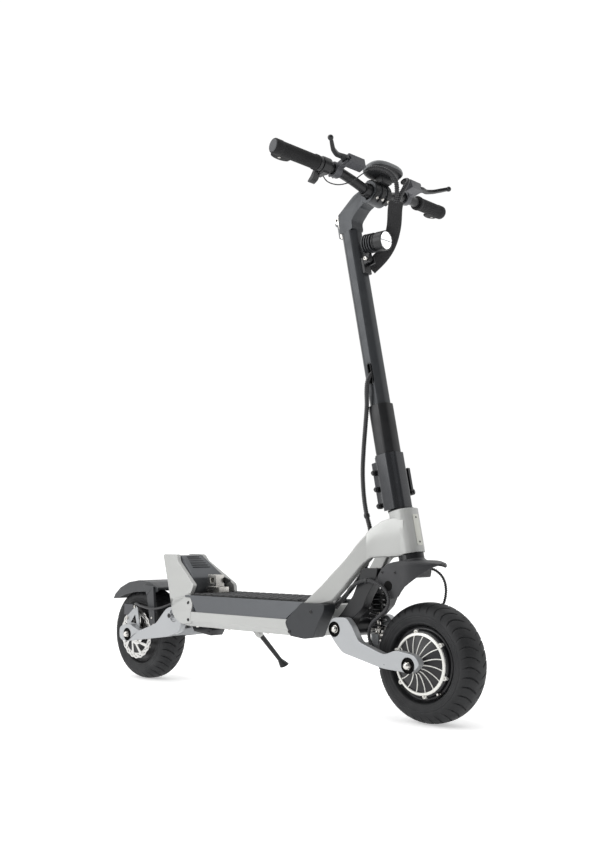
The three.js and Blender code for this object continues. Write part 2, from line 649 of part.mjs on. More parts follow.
function foldLever() {
  const blade = box([4, 20], [FOLD_LEVER.y - 4, FOLD_LEVER.y + 4], [FOLD_LEVER.s, FOLD_LEVER.s + 56]);
  const cam = rod(at(2, FOLD_LEVER.y, FOLD_LEVER.s), at(22, FOLD_LEVER.y, FOLD_LEVER.s), 7, 16);
  return cut(join(blade, cam), rod(at(0, FOLD_LEVER.y, FOLD_LEVER.s), at(30, FOLD_LEVER.y, FOLD_LEVER.s), 2.9, 12));
}

function stemHead() {
  const bar = stemLocal(BAR);
  const side = outline([
    [-STEM_HALF, STEM_TOP + GAP], [-19, 700], [38, 728], [bar.f - 12, bar.s + 20],
    [bar.f, bar.s - 12], [52, 694], [STEM_HALF, 676], [STEM_HALF, STEM_TOP + GAP],
  ], 6);
  const taper = (p) => { p.y *= 1 - 0.12 * Math.max(0, Math.min(1, p.x / 80)); };
  const neck = solid(bend(slabGeometry(side, -STEM_HALF, STEM_HALF), taper));
  const clamp = rod(at(bar.f, -27, bar.s), at(bar.f, 27, bar.s), 24, 22);
  const bore = rod(at(bar.f, -40, bar.s), at(bar.f, 40, bar.s), BAR_CENTRE_RADIUS + GAP + 0.3, 18);
  const tube = plate(octagon(STEM_HALF - 3.4, 11), STEM_TOP - 24, STEM_TOP + 2);
  return cut(join(neck, clamp, tube), bore);
}

function stemHook() {
  const side = outline([[-22.4, 652], [-22.4, 706], [-30, 711], [-38, 704], [-37, 694], [-29, 688], [-28, 652]], 3);
  const hole = rod(at(-31.5, -20, 701), at(-31.5, 20, 701), 3.2, 16);
  return cut(slab(side, -9, 9), hole);
}

// The lamp turns on a bolt in its bracket, below its rear end.
const LAMP = { rear: at(36, 0, 607), front: at(98, 0, 588), bolt: { x: 38, z: 573 }, radius: 22.5 };

function headlight() {
  const along = (t) => LAMP.rear.clone().lerp(LAMP.front, t);
  const ribs = [0.1, 0.34].map((t) => rod(along(t), along(t + 0.12), LAMP.radius, 16));
  const body = rod(along(0), along(1), LAMP.radius - 3, 16);
  const bezel = rod(along(0.62), along(1), LAMP.radius, 16);
  const dish = rod(along(0.86), along(1.1), 15, 16, 20);
  const foot = box([LAMP.bolt.x - 7, LAMP.bolt.x + 7], [-5, 5], [LAMP.bolt.z - 7, LAMP.bolt.z + 18]);
  return cut(join(body, bezel, ...ribs, foot), dish, crossRod(LAMP.bolt, -9, 9, 3.9, 14));
}

function headlightBracket() {
  const foot = box([STEM_HALF + GAP, STEM_HALF + 7], [-12, 12], [543, 580]);
  const ears = SIDES.map(([, s]) => box([STEM_HALF + 6, 46], [s * 5.6, s * 11].sort((a, b) => a - b), [563, 580]));
  return join(foot, ...ears, crossRod(LAMP.bolt, -14, 14, 3.5, 12));
}

// ---------------------------------------------------------------- handlebar
// A frame on the straight part of the bar: its origin is the knee and its Y runs along the bar.
function barFrame(side) {
  const knee = BAR_KNEE.clone().setY(side * BAR_KNEE.y);
  const along = BAR_END.clone().setY(side * BAR_END.y).sub(knee).normalize().multiplyScalar(side);
  const ahead = at(1, 0, 0).addScaledVector(along, -along.x).normalize();
  const frame = new THREE.Group();
  frame.matrix.makeBasis(ahead, along, ahead.clone().cross(along)).setPosition(knee);
  frame.matrix.decompose(frame.position, frame.quaternion, frame.scale);
  frame.updateMatrix();
  scooter.add(frame);
  return frame;
}

const alongBar = (side, from, to, radius, sides = 18) => rod(at(0, side * from, 0), at(0, side * to, 0), radius, sides);
const BAR_LENGTH = BAR_END.distanceTo(BAR_KNEE);
const GRIP_START = 68;

function handlebar(frames) {
  const halves = SIDES.map(([, side], i) => {
    const points = [[BAR.x, side * 20, BAR.z], [BAR.x, side * 34, BAR.z], [838, side * 66, 1189]];
    const end = BAR_KNEE.clone().setY(side * BAR_KNEE.y);
    const bendTube = solid(cordGeometry([...points, end.toArray(), throughKnee(side)], BAR_RADIUS, 16, 12));
    const straight = rodGeometry(at(0, 0, 0), at(0, side * (BAR_LENGTH - 5), 0), BAR_RADIUS, 12);
    return join(bendTube, solid(straight.applyMatrix4(frames[i].matrix)));
  });
  return join(...halves, crossRod(BAR, -44, 44, BAR_CENTRE_RADIUS, 18));
}

function throughKnee(side) {
  const knee = BAR_KNEE.clone().setY(side * BAR_KNEE.y);
  const end = BAR_END.clone().setY(side * BAR_END.y);
  return knee.lerp(end, 0.03).toArray();
}

function grip(side) {
  const sleeve = alongBar(side, GRIP_START, BAR_LENGTH, 15.5);
  const wing = box([-25, 4], [side * (BAR_LENGTH - 50), side * (BAR_LENGTH - 4)].sort((a, b) => a - b), [-14, -7]);
  return cut(join(sleeve, wing), alongBar(side, GRIP_START - 2, BAR_LENGTH - 4.6, BAR_RADIUS + GAP));
}

// The brake's clamp, its arm and the fluid reservoir, which lies beside the bar on its inner side.
const PERCH = { at: 14, turn: -16 };
const LEVER_PIVOT = { ahead: 42, inset: 4 };

function brakePerch(side) {
  const ring = cut(alongBar(side, -9, 9, 17), alongBar(side, -12, 12, BAR_RADIUS + GAP));
  const arm = box([14, 46], [side * -7, side * 7].sort((a, b) => a - b), [-7, 7]);
  const reservoir = box([28, 50], [side * -46, side * 2].sort((a, b) => a - b), [-9.5, 11]);
  const slot = box([31, 60], [side * -3, side * 12].sort((a, b) => a - b), [-4.4, 4.4]);
  const solids = cut(join(ring, arm, reservoir), slot, alongBar(side, -70, 70, BAR_RADIUS + GAP));
  return join(solids, rod(at(LEVER_PIVOT.ahead, side * 4, -8), at(LEVER_PIVOT.ahead, side * 4, 8), 2.5, 12));
}

function brakeLever(side) {
  const points = [
    [-7, -6], [6, -7], [9, 6], [6, 26], [14, 44], [27, 58], [38, 71], [33, 76], [20, 64], [6, 49], [-4, 30], [-3, 12], [-8, 6],
  ];
  const shape = outline(points.map(([x, y]) => [LEVER_PIVOT.ahead + x, side * (4 + y)]), 5);
  const blade = plate(shape, -3.8, 3.8);
  const ball = solid(new THREE.SphereGeometry(6.5, 10, 6).translate(LEVER_PIVOT.ahead + 37, side * 80, 0));
  return cut(join(blade, ball), rod(at(LEVER_PIVOT.ahead, side * 4, -9), at(LEVER_PIVOT.ahead, side * 4, 9), 2.9, 12));
}

function perchFrame(frame, side) {
  const perch = new THREE.Group();
  perch.position.set(0, side * PERCH.at, 0);
  perch.rotation.y = THREE.MathUtils.degToRad(PERCH.turn);
  frame.add(perch);
  return perch;
}

function throttleHousing() {
  const body = join(alongBar(-1, 36, 57, 18.5), box([-20, 10], [-54, -40], [-20, -6]));
  return cut(body, alongBar(-1, 30, 70, BAR_RADIUS + GAP));
}

function throttlePaddle() {
  const ring = cut(alongBar(-1, 57.6, 66.6, 16.5), alongBar(-1, 50, 70, BAR_RADIUS + 1));
  const paddle = slabGeometry(outline([[-12, -8], [-6, -15], [-14, -30], [-28, -36], [-33, -31], [-22, -22]], 3), -66, -50);
  const clear = box([-60, 60], [-57.6, 0], [-20, 60]);
  return join(ring, cut(solid(paddle), clear));
}

function displayPod() {
  const pod = new THREE.Shape();
  pod.absellipse(0, 0, 24, 45, 0, 2 * Math.PI);
  const bevel = { depth: 12, bevelEnabled: true, bevelThickness: 5, bevelSize: 6, bevelSegments: 1, curveSegments: 10 };
  const shell = new THREE.ExtrudeGeometry(pod, bevel);
  const stalk = boxGeometry([-12, 10], [-20, 20], [-22, 0]);
  return join(solid(shell), solid(stalk));
}

// ---------------------------------------------------------------- cables
const HOSE = 4.2;
const WRAP = 5.5;

const barHoses = () => {
  const right = [[873, -59.4, 1213], [886, -49, 1214], [903, -31, 1207], [911, -14, 1190], [907, -3, 1165], [898, 2, 1145]];
  const left = [[873, 59.4, 1213], [886, 52, 1212], [905, 38, 1203], [912, 22, 1186], [907, 11, 1164], [899, 8, 1145]];
  return join(solid(cordGeometry(right, WRAP)), solid(cordGeometry(left, WRAP)));
};

// A flat fabric sleeve that holds the bar's cables together down to the front of the stem.
function cableWrap() {
  const route = new THREE.CatmullRomCurve3([
    at(893, 8, 1139), at(873, 27, 1099), at(849, 41, 1064), at(833, 42, 1038), at(818, 38, 1019), at(810, 36, 1011),
  ]);
  const half = [[-17, 2], [-15, 4], [15, 4], [17, 2]];
  const ring = [...half, ...half.map(([w, t]) => [w, -t]).reverse()];
  const sections = [];
  for (let i = 0; i <= 12; i++) {
    const along = route.getTangentAt(i / 12);
    const across = at(0.7, 0.7, 0).addScaledVector(along, -along.dot(at(0.7, 0.7, 0))).normalize();
    const out = along.clone().cross(across);
    const centre = route.getPointAt(i / 12);
    sections.push(ring.map(([w, t]) => centre.clone().addScaledVector(across, w).addScaledVector(out, t)));
  }
  return loft(sections);
}

const CABLES = {
  stem_cable: {
    radius: WRAP,
    route: [
      [844, -13, 765], [843, -23, 757], [842, -31, 741], [842, -34, 720], [840, -31, 690], [830, -25, 640], [817, -16, 590],
      [808, -9, 538], [809, -6, 484], [817, -6, 443], [826, -6, 414], [830, -6, 385], [827, -8, 355], [817, -11, 327],
      [801, -16, 300], [781, -22, 274], [762, -28, 253], [745, -33, 233],
    ],
  },
  front_motor_cable: {
    radius: HOSE,
    route: [
      [742, -46, 224], [756, -46, 240], [774, -44, 250], [794, -50, 263], [816, -62, 280], [840, -66, 293],
      [868, -67, 299], [898, -67, 294], [920, -66, 280], [928, -65, 260], [920, -63, 240], [898, -59, 224],
      [872, -54, 206], [862, -52, 186], [866, -52, 164], [884, -53, 147], [920, -54, 136], [962, -56, 131],
    ],
  },
  front_brake_hose: {
    radius: HOSE - 1,
    route: [
      [968, 30, 326], [978, 38, 320], [987, 45, 309], [992, 49, 295], [991, 54, 276], [985, 55, 252], [972, 54, 230],
      [962, 54, 217],
    ],
  },
  rear_brake_hose: {
    radius: HOSE - 1,
    route: [
      [2, -55, 208], [22, -66, 212], [60, -72, 206], [100, -74, 202], [140, -72, 206], [175, -65, 217],
      [205, -56, 229], [238, -47, 235],
    ],
  },
};

// ---------------------------------------------------------------- brakes and covers at the wheels
function caliper(wheelX, side, backwards) {
  const centre = at(wheelX + backwards * 22, 0, AXLE_Z + 66);
  const body = box([centre.x - 21, centre.x + 21], [side * 42.5, side * 60].sort((a, b) => a - b), [centre.z - 15, centre.z + 15]);
  const carrier = box([centre.x - 9, centre.x + 9], [side * 51, side * 58].sort((a, b) => a - b), [148, centre.z - 10]);
  const foot = box([centre.x - 11, centre.x + 11], [side * 51, side * 61.6].sort((a, b) => a - b), [139, 152]);
  const slot = crossRod({ x: wheelX, z: AXLE_Z }, side * 44.8, side * 50.6, 72, 32);
  return cut(join(body, carrier, foot), slot);
}

function rearMudguard() {
  const outer = outline([
    [-106, 220], [-98, 234], [-71, 254], [-30, 270], [20, 277], [67, 273], [106, 258], [102, 246],
    [60, 246], [0, 243], [-40, 236], [-74, 227],
  ], 5);
  const inside = outline([
    [-130, 200], [-109, 214], [-95, 230], [-69, 248.5], [-29, 264.5], [20, 271.5], [66, 267.5],
    [115, 249.5], [115, 200],
  ]);
  const shell = cut(slab(outer, -54, 54), slab(inside, -49.5, 49.5));
  const leg = outline([[48, 266], [94, 262], [101, 172], [108, 152], [82, 150], [78, 172], [64, 236]], 4);
  return join(shell, ...SIDES.map(([, s]) => slab(leg, ...[s * 54, s * 61.5].sort((a, b) => a - b))));
}

// ---------------------------------------------------------------- assembly
function addWheel(end, x, discSide) {
  add(`${end}_tyre`, tyre(x), RUBBER);
  add(`${end}_hub_motor`, hubMotor(x, discSide), BLACK);
  add(`${end}_brake_disc`, brakeDisc(x, discSide), STEEL);
  add(`${end}_axle`, axle(x), STEEL);
}

addWheel('front', WHEELBASE, 1);
addWheel('rear', 0, -1);
add('front_swingarm', frontSwingarm(), ARM_SILVER);
add('rear_swingarm', rearSwingarm(), ARM_SILVER);
addShock('front', FRONT_SHOCK_TOP, FRONT_SHOCK_LOW);
addShock('rear', REAR_SHOCK_TOP, REAR_SHOCK_LOW);
add('front_caliper', caliper(WHEELBASE, 1, -1), BLACK);
add('rear_caliper', caliper(0, -1, -1), BLACK);
add('rear_mudguard', rearMudguard(), DARK);

add('front_fork', frontFork(), BLACK);
add('front_mudguard', frontMudguard(), DARK);

add('head_casting', headCasting(), SILVER);
add('deck_tray', deckTray(), SILVER);
add('deck_cover', deckCover(), DARK);
add('deck_mat', deckMat(), RUBBER);
add('battery_pack', box([300, 622], [-74, 74], [174, 236]), CELLS);
add('motor_controller', box([630, 684], [-54, 54], [174, 222]), PLASTIC);
add('kickplate', kickplate(), DARK);
add('latch_base', latchBase(), STEEL);
add('latch_lever', latchLever(), BLACK);
add('kickstand', kickstandLeg(), BLACK);
for (const [name, side] of SIDES) {
  add(`corner_bracket_${name}`, cornerBracket(side), DARK);
  add(`rear_fin_${name}`, rearFin(side), SILVER);
}

add('stem_tube', stemTube(), DARK, stem);
add('fold_block', foldBlock(), DARK, stem);
add('safety_sleeve', safetySleeve(), BLACK, stem);
add('fold_lever', foldLever(), BLACK, stem);
add('stem_head', stemHead(), DARK, stem);
add('stem_hook', stemHook(), STEEL, stem);
add('headlight', headlight(), LIGHT, stem);
add('headlight_bracket', headlightBracket(), BLACK, stem);

const barFrames = SIDES.map(([, side]) => barFrame(side));
add('handlebar', handlebar(barFrames), BLACK);
SIDES.forEach(([name, side], i) => {
  const perch = perchFrame(barFrames[i], side);
  add(`grip_${name}`, grip(side), RUBBER, barFrames[i]);
  add(`brake_perch_${name}`, brakePerch(side), DARK, perch);
  add(`brake_lever_${name}`, brakeLever(side), BLACK, perch);
});
add('throttle_housing', throttleHousing(), PLASTIC, barFrames[0]);
add('throttle_paddle', throttlePaddle(), PLASTIC, barFrames[0]);

const display = new THREE.Group();
display.position.set(864, 3, 1222);
display.rotation.y = THREE.MathUtils.degToRad(-34);
scooter.add(display);
add('display_pod', displayPod(), PLASTIC, display);

add('bar_hoses', barHoses(), CABLE);
add('cable_wrap', cableWrap(), CABLE);
for (const [name, { radius, route }] of Object.entries(CABLES)) add(name, cordGeometry(route, radius), CABLE);

const footprint = new THREE.Box3().setFromObject(scooter, true);
const middle = footprint.getCenter(new THREE.Vector3());
scooter.position.set(-middle.x, -middle.y, -footprint.min.z);

export default scooter;
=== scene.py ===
"""Electric kick scooter: the looks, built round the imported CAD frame.

Metres in the row frame: +X forward, +Y to the rider's left, +Z up. Sizes in the tables below are in
millimetres from the rear axle and the ground, as in the CAD source, and at() turns them into metres.
"""
import json
import math

import bmesh
import bpy
import numpy as np
from mathutils import Matrix, Vector


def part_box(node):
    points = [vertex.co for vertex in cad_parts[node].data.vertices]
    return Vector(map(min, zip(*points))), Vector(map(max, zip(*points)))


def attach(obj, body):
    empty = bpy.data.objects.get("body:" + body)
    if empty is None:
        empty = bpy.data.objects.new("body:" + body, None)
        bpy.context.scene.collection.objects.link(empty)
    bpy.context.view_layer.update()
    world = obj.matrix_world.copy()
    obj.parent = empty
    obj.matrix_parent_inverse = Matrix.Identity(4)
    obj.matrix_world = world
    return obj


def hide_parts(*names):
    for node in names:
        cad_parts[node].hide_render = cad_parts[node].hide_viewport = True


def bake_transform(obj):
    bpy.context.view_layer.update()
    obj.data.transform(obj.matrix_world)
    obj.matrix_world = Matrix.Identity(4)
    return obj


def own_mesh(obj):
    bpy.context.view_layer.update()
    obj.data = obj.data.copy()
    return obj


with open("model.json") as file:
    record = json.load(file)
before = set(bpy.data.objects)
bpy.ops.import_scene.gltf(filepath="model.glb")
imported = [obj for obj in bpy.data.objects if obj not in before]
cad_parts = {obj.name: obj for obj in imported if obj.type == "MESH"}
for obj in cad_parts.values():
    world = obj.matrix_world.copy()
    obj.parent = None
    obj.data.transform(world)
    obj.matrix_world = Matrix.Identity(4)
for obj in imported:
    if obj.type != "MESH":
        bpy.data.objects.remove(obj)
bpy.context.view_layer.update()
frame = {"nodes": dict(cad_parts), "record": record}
record = frame["record"]
scene = bpy.context.scene
BODY = {node: body for body, nodes in record["behaviour"]["bodies"].items() for node in nodes}
SLOT = {part["node"]: part["material_slot"] for part in record["subparts"]}
SIDES = {"right": -1, "left": 1}

# ------------------------------------------------------------------ places
rear_low, rear_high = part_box("rear_axle")
REAR_X = (rear_low[0] + rear_high[0]) / 2
TILT = math.radians(11.6)
UP = Vector((-math.sin(TILT), 0, math.cos(TILT)))
FORE = Vector((math.cos(TILT), 0, math.sin(TILT)))
LEFT = Vector((0, 1, 0))
AHEAD = Vector((1, 0, 0))
RISE = Vector((0, 0, 1))
AXLE_Z = 127.5
WHEEL_X = {"front": 990, "rear": 0}
PIVOT_X = {"front": 784, "rear": 208}
PIVOT_Z = 190
HINGE_X, HINGE_Z = 901, 461
BAR_X, BAR_Z = 843, 1178


def at(x, y, z):
    return Vector((REAR_X + x / 1000, y / 1000, z / 1000))


def on_stem(f, y, s):
    """A point f ahead of the stem's centre line, y to the left and s up from the hinge."""
    return at(HINGE_X, 0, HINGE_Z) + FORE * (f / 1000) + LEFT * (y / 1000) + UP * (s / 1000)


def on_head(f, y, s):
    """A point measured from the steering axis at the top of the head."""
    return on_stem(f + 15, y, s - 12)


BAR = at(BAR_X, 0, BAR_Z)
KNEE = Vector((831, 108, 1203))
BAR_END = Vector((809, 293, 1215))
BAR_LENGTH = (BAR_END - KNEE).length


def bar_axes(side):
    """The straight part of one side of the bar: its knee, and the directions ahead, left and up."""
    knee = Vector((KNEE.x, side * KNEE.y, KNEE.z))
    end = Vector((BAR_END.x, side * BAR_END.y, BAR_END.z))
    along = (end - knee).normalized() * side
    ahead = (AHEAD - along * along.x).normalized()
    return at(*knee), ahead, along, ahead.cross(along)


def on_bar(side, ahead, along, up):
    """A point measured from the knee; along counts outwards on either side."""
    knee, a, b, c = bar_axes(side)
    return knee + (a * ahead + b * (side * along) + c * up) / 1000


def on_perch(side, ahead, along, up, turn=math.radians(-16)):
    c, s = math.cos(turn), math.sin(turn)
    return on_bar(side, ahead * c + up * s, 14 + along, -ahead * s + up * c)


# ------------------------------------------------------------------ camera, floor and light
def make_camera():
    """The photograph's viewpoint, solved from the wheels, the deck and the handlebar."""
    data = bpy.data.cameras.new("camera")
    data.sensor_width = 36
    data.lens = 40.54
    data.shift_y = 0.0718
    data.clip_start = 0.05
    camera = bpy.data.objects.new("camera", data)
    scene.collection.objects.link(camera)
    turn, pitch = math.radians(45.35), math.radians(3.113)
    ahead = Vector((-math.cos(turn) * math.cos(pitch), math.sin(turn) * math.cos(pitch), math.sin(pitch)))
    camera.location = at(2245.3, -1663.6, 381.8)
    camera.rotation_euler = ahead.to_track_quat("-Z", "Y").to_euler()
    scene.camera = camera


def area_light(name, place, target, size, power):
    data = bpy.data.lights.new(name, "AREA")
    data.shape = "RECTANGLE"
    data.size, data.size_y = size
    data.energy = power
    light = bpy.data.objects.new(name, data)
    light.location = place
    light.rotation_euler = (Vector(target) - Vector(place)).to_track_quat("-Z", "Y").to_euler()
    scene.collection.objects.link(light)


def glow(shader, strength):
    shader.inputs["Emission Color"].default_value = (1, 1, 1, 1)
    shader.inputs["Emission Strength"].default_value = strength


def make_world():
    """A room that is bright behind and to the right of the scooter, and dim ahead of it."""
    world = bpy.data.worlds.new("studio")
    scene.world = world
    world.use_nodes = True
    tree = world.node_tree
    background = tree.nodes["Background"]
    place = tree.nodes.new("ShaderNodeTexCoord")
    facing = tree.nodes.new("ShaderNodeVectorMath")
    facing.operation = "DOT_PRODUCT"
    facing.inputs[1].default_value = Vector((0.85, -0.5, -0.1)).normalized()
    strength = tree.nodes.new("ShaderNodeMapRange")
    strength.interpolation_type = "SMOOTHSTEP"
    for key, value in (("From Min", 0.05), ("From Max", 0.75), ("To Min", 1.02), ("To Max", 0.26)):
        strength.inputs[key].default_value = value
    tree.links.new(place.outputs["Generated"], facing.inputs[0])
    tree.links.new(facing.outputs["Value"], strength.inputs["Value"])
    tree.links.new(strength.outputs["Result"], background.inputs["Strength"])
    background.inputs["Color"].default_value = (1, 1, 1, 1)


def make_stage():
    make_world()
    scene.view_settings.view_transform = "Standard"
    middle = (0, 0, 0.5)
    area_light("key", (-1.4, -2.9, 1.9), middle, (2.4, 2.2), 43)
    area_light("top", (-0.4, -0.6, 3.4), middle, (2.2, 2.2), 31)
    mesh = bpy.data.meshes.new("floor")
    far = 40
    mesh.from_pydata([(-far, -far, 0), (far, -far, 0), (far, far, 0), (-far, far, 0)], [], [(0, 1, 2, 3)])
    floor = bpy.data.objects.new("floor", mesh)
    scene.collection.objects.link(floor)
    paper = bpy.data.materials.new("paper")
    paper.use_nodes = True
    shader = paper.node_tree.nodes["Principled BSDF"]
    shader.inputs["Base Color"].default_value = (0.93, 0.93, 0.93, 1)
    shader.inputs["Roughness"].default_value = 0.9
    shader.inputs["Specular IOR Level"].default_value = 0.1
    glow(shader, 0.42)
    mesh.materials.append(paper)


# ------------------------------------------------------------------ materials
class Nodes:
    """A short way to wire a material's nodes."""

    def __init__(self, name):
        self.material = bpy.data.materials.new(name)
        self.material.use_nodes = True
        self.tree = self.material.node_tree
        self.shader = self.tree.nodes["Principled BSDF"]
        self.place = self.add("ShaderNodeTexCoord").outputs["Object"]

    def add(self, kind, **values):
        node = self.tree.nodes.new(kind)
        for key, value in values.items():
            if key in node.inputs:
                node.inputs[key].default_value = value
            else:
                setattr(node, key, value)
        return node

    def link(self, source, target):
        self.tree.links.new(source, target)

    def noise(self, scale, detail=3.0, stretch=None):
        node = self.add("ShaderNodeTexNoise", Scale=scale, Detail=detail)
        if stretch:
            mapping = self.add("ShaderNodeMapping")
            mapping.inputs["Scale"].default_value = stretch
            self.link(self.place, mapping.inputs["Vector"])
            self.link(mapping.outputs["Vector"], node.inputs["Vector"])
        else:
            self.link(self.place, node.inputs["Vector"])
        return node.outputs["Fac"]

    def ramp(self, source, stops):
        node = self.add("ShaderNodeValToRGB")
        elements = node.color_ramp.elements
        while len(elements) < len(stops):
            elements.new(0.5)
        for element, (place, color) in zip(elements, stops):
            element.position = place
            element.color = (*color, 1)
        self.link(source, node.inputs["Fac"])
        return node.outputs["Color"]

    def range(self, source, low, high, start=0.3, end=0.7):
        node = self.add("ShaderNodeMapRange")
        for key, value in (("From Min", start), ("From Max", end), ("To Min", low), ("To Max", high)):
            node.inputs[key].default_value = value
        self.link(source, node.inputs["Value"])
        return node.outputs["Result"]

    def blend(self, share, first, second):
        node = self.add("ShaderNodeMix", data_type="RGBA")
        self.link(share, node.inputs["Factor"])
        self.link(first, node.inputs["A"])
        if isinstance(second, tuple):
            node.inputs["B"].default_value = (*second, 1)
        else:
            self.link(second, node.inputs["B"])
        return node.outputs["Result"]

    def times(self, first, second):
        node = self.add("ShaderNodeMath", operation="MULTIPLY")
        self.link(first, node.inputs[0])
        self.link(second, node.inputs[1])
        return node.outputs["Value"]

    def bump(self, height, strength, distance=0.0004, below=None):
        node = self.add("ShaderNodeBump", Strength=strength, Distance=distance)
        self.link(height, node.inputs["Height"])
        if below:
            self.link(below, node.inputs["Normal"])
        return node.outputs["Normal"]


def shade(color, by):
    return tuple(max(0.0, min(1.0, c * by)) for c in color)


def finish(name, color, rough, metal=0.0, grain=0.15, grain_scale=1400, tone=0.07, wear=None, coat=0.0,
           specular=0.5, spread=0.07, stretch=None, sheen=0.0):
    """A coated, moulded or bare surface: cloudy tone, fine grain, uneven gloss, worn edges where asked."""
    n = Nodes(name)
    cloud = n.noise(9, 5)
    base = n.ramp(cloud, [(0.3, shade(color, 1 - tone)), (0.7, shade(color, 1 + tone))])
    fine = n.noise(grain_scale, 2, stretch)
    speck = n.ramp(fine, [(0.35, shade(color, 1 - 1.4 * tone)), (0.6, shade(color, 1 + 1.4 * tone))])
    patch = n.noise(60, 3)
    base = n.blend(n.range(patch, 0.12, 0.4), base, speck)
    if wear:
        edge = n.add("ShaderNodeNewGeometry").outputs["Pointiness"]
        mask = n.times(n.range(edge, 0, 0.75, 0.53, 0.64), n.range(n.noise(170, 4), 0, 1, 0.42, 0.62))
        base = n.blend(mask, base, wear)
    n.link(base, n.shader.inputs["Base Color"])
    n.link(n.range(n.noise(35, 4), rough - spread, rough + spread), n.shader.inputs["Roughness"])
    soft = n.bump(patch, 0.008, 0.001)
    n.link(n.bump(fine, grain, 0.0003, soft), n.shader.inputs["Normal"])
    n.shader.inputs["Metallic"].default_value = metal
    n.shader.inputs["Specular IOR Level"].default_value = specular
    if coat:
        n.shader.inputs["Coat Weight"].default_value = coat
        n.shader.inputs["Coat Roughness"].default_value = 0.12
    if sheen:
        n.shader.inputs["Sheen Weight"].default_value = sheen
    return n.material


def woven(name, color, pitch=1500):
    """A woven sleeve: two crossing sets of threads and a little fuzz."""
    n = Nodes(name)
    threads = []
    for direction in ("X", "Z"):
        wave = n.add("ShaderNodeTexWave", Scale=pitch / 6, Distortion=0.4, bands_direction=direction)
        n.link(n.place, wave.inputs["Vector"])
        threads.append(wave.outputs["Fac"])
    weave = n.times(*threads)
    fuzz = n.noise(900, 4)
    base = n.ramp(weave, [(0.1, shade(color, 0.55)), (0.8, shade(color, 1.5))])
    n.link(n.blend(n.range(fuzz, 0, 0.3), base, shade(color, 1.9)), n.shader.inputs["Base Color"])
    n.link(n.range(fuzz, 0.8, 0.95), n.shader.inputs["Roughness"])
    n.link(n.bump(weave, 0.5, 0.0006), n.shader.inputs["Normal"])
    n.shader.inputs["Sheen Weight"].default_value = 0.25
    return n.material


def glass(name, color, rough=0.03, clear=1.0):
    n = Nodes(name)
    smear = n.noise(40, 3)
    n.link(n.ramp(smear, [(0.3, shade(color, 0.93)), (0.7, color)]), n.shader.inputs["Base Color"])
    n.link(n.range(smear, rough, rough + 0.05), n.shader.inputs["Roughness"])
    n.link(n.bump(n.noise(300, 2), 0.02, 0.0002), n.shader.inputs["Normal"])
    n.shader.inputs["Transmission Weight"].default_value = clear
    n.shader.inputs["IOR"].default_value = 1.46
    return n.material


# What a row leaves out keeps its usual value.
FINISHES = {
    "silver_paint": ((0.40, 0.405, 0.395), 0.36, 0.35, 0.04, 1600, 0.03, None, 0.15),
    "arm_paint": ((0.35, 0.36, 0.37), 0.34, 0.4, 0.04, 1600, 0.03, None, 0.15),
    "stem_paint": ((0.040, 0.043, 0.047), 0.36, 0.4, 0.04, 1500, 0.05),
    "block_paint": ((0.024, 0.0255, 0.029), 0.24, 0.45, 0.04, 1500, 0.05, None, 0.3),
    "side_paint": ((0.078, 0.083, 0.090), 0.42, 0.3, 0.04, 1300, 0.02),
    "dark_casting": ((0.024, 0.026, 0.029), 0.42, 0.3, 0.14, 1300, 0.06),
    "guard_plastic": ((0.030, 0.032, 0.035), 0.46, 0.0, 0.2, 1100, 0.05),
    "black_metal": ((0.0085, 0.009, 0.0102), 0.36, 0.2, 0.12, 1300, 0.1),
    "rim_grey": ((0.135, 0.14, 0.145), 0.4, 0.1, 0.04, 1300, 0.04),
    "perch_paint": ((0.062, 0.063, 0.070), 0.4, 0.35, 0.04, 1300, 0.05),
    "black_steel": ((0.008, 0.008, 0.009), 0.3, 0.1, 0.1, 900, 0.1),
    "steel": ((0.60, 0.585, 0.555), 0.26, 1.0, 0.10, 500, 0.05, None, 0, 0.5, 0.08, (1, 6, 1)),
    "disc_steel": ((0.55, 0.545, 0.53), 0.3, 1.0, 0.16, 700, 0.05, None, 0, 0.5, 0.1, (1, 9, 1)),
    "pale_plate": ((0.56, 0.565, 0.52), 0.4, 0.3, 0.08, 900, 0.03),
    "rib_white": ((0.74, 0.735, 0.70), 0.3, 0.25, 0.05, 900, 0.04),
    "hub_black": ((0.009, 0.009, 0.0105), 0.38, 0.2, 0.12, 1000, 0.1, (0.08, 0.08, 0.08)),
    "tyre": ((0.0085, 0.009, 0.0102), 0.62, 0.0, 0.35, 900, 0.14, None, 0, 0.4, 0.08),
    "grip_rubber": ((0.0072, 0.0072, 0.008), 0.72, 0.0, 0.4, 1100, 0.12, None, 0, 0.35),
    "end_cap": ((0.05, 0.052, 0.056), 0.5, 0.0, 0.2, 900, 0.06),
    "mat_rubber": ((0.007, 0.0072, 0.008), 0.66, 0.0, 0.45, 1000, 0.16, (0.05, 0.05, 0.05), 0, 0.4),
    "mat_block": ((0.024, 0.0245, 0.027), 0.55, 0.0, 0.4, 1000, 0.14, None, 0, 0.45),
    "black_plastic": ((0.0085, 0.009, 0.0102), 0.42, 0.0, 0.25, 1100, 0.08),
    "wrap_plastic": ((0.016, 0.016, 0.018), 0.4, 0.0, 0.12, 1500, 0.1),
    "battery_wrap": ((0.03, 0.09, 0.22), 0.35, 0.0, 0.08, 500, 0.1, None, 0.3),
    # Near-black, dull and almost without shine: painted shade for pockets and hollows.
    "painted_shade_black": ((0.004, 0.004, 0.004), 0.8, 0.0, 0.1, 900, 0.1, None, 0, 0.12),
    # Near-white and glowing: a painted reflection for the headlight's mirror dish, which is no lamp.
    "painted_glow_reflector": ((0.93, 0.93, 0.93), 0.3, 0.2, 0.02, 500, 0.02, None, 0, 0.5, 0.05),
}
M = {name: finish(name, *values) for name, values in FINISHES.items()}
M["strap_fabric"] = woven("strap_fabric", (0.011, 0.011, 0.012))
M["lens_glass"] = glass("lens_glass", (0.98, 0.99, 1.0))
M["screen_glass"] = glass("screen_glass", (0.012, 0.02, 0.018), 0.05, 0.0)
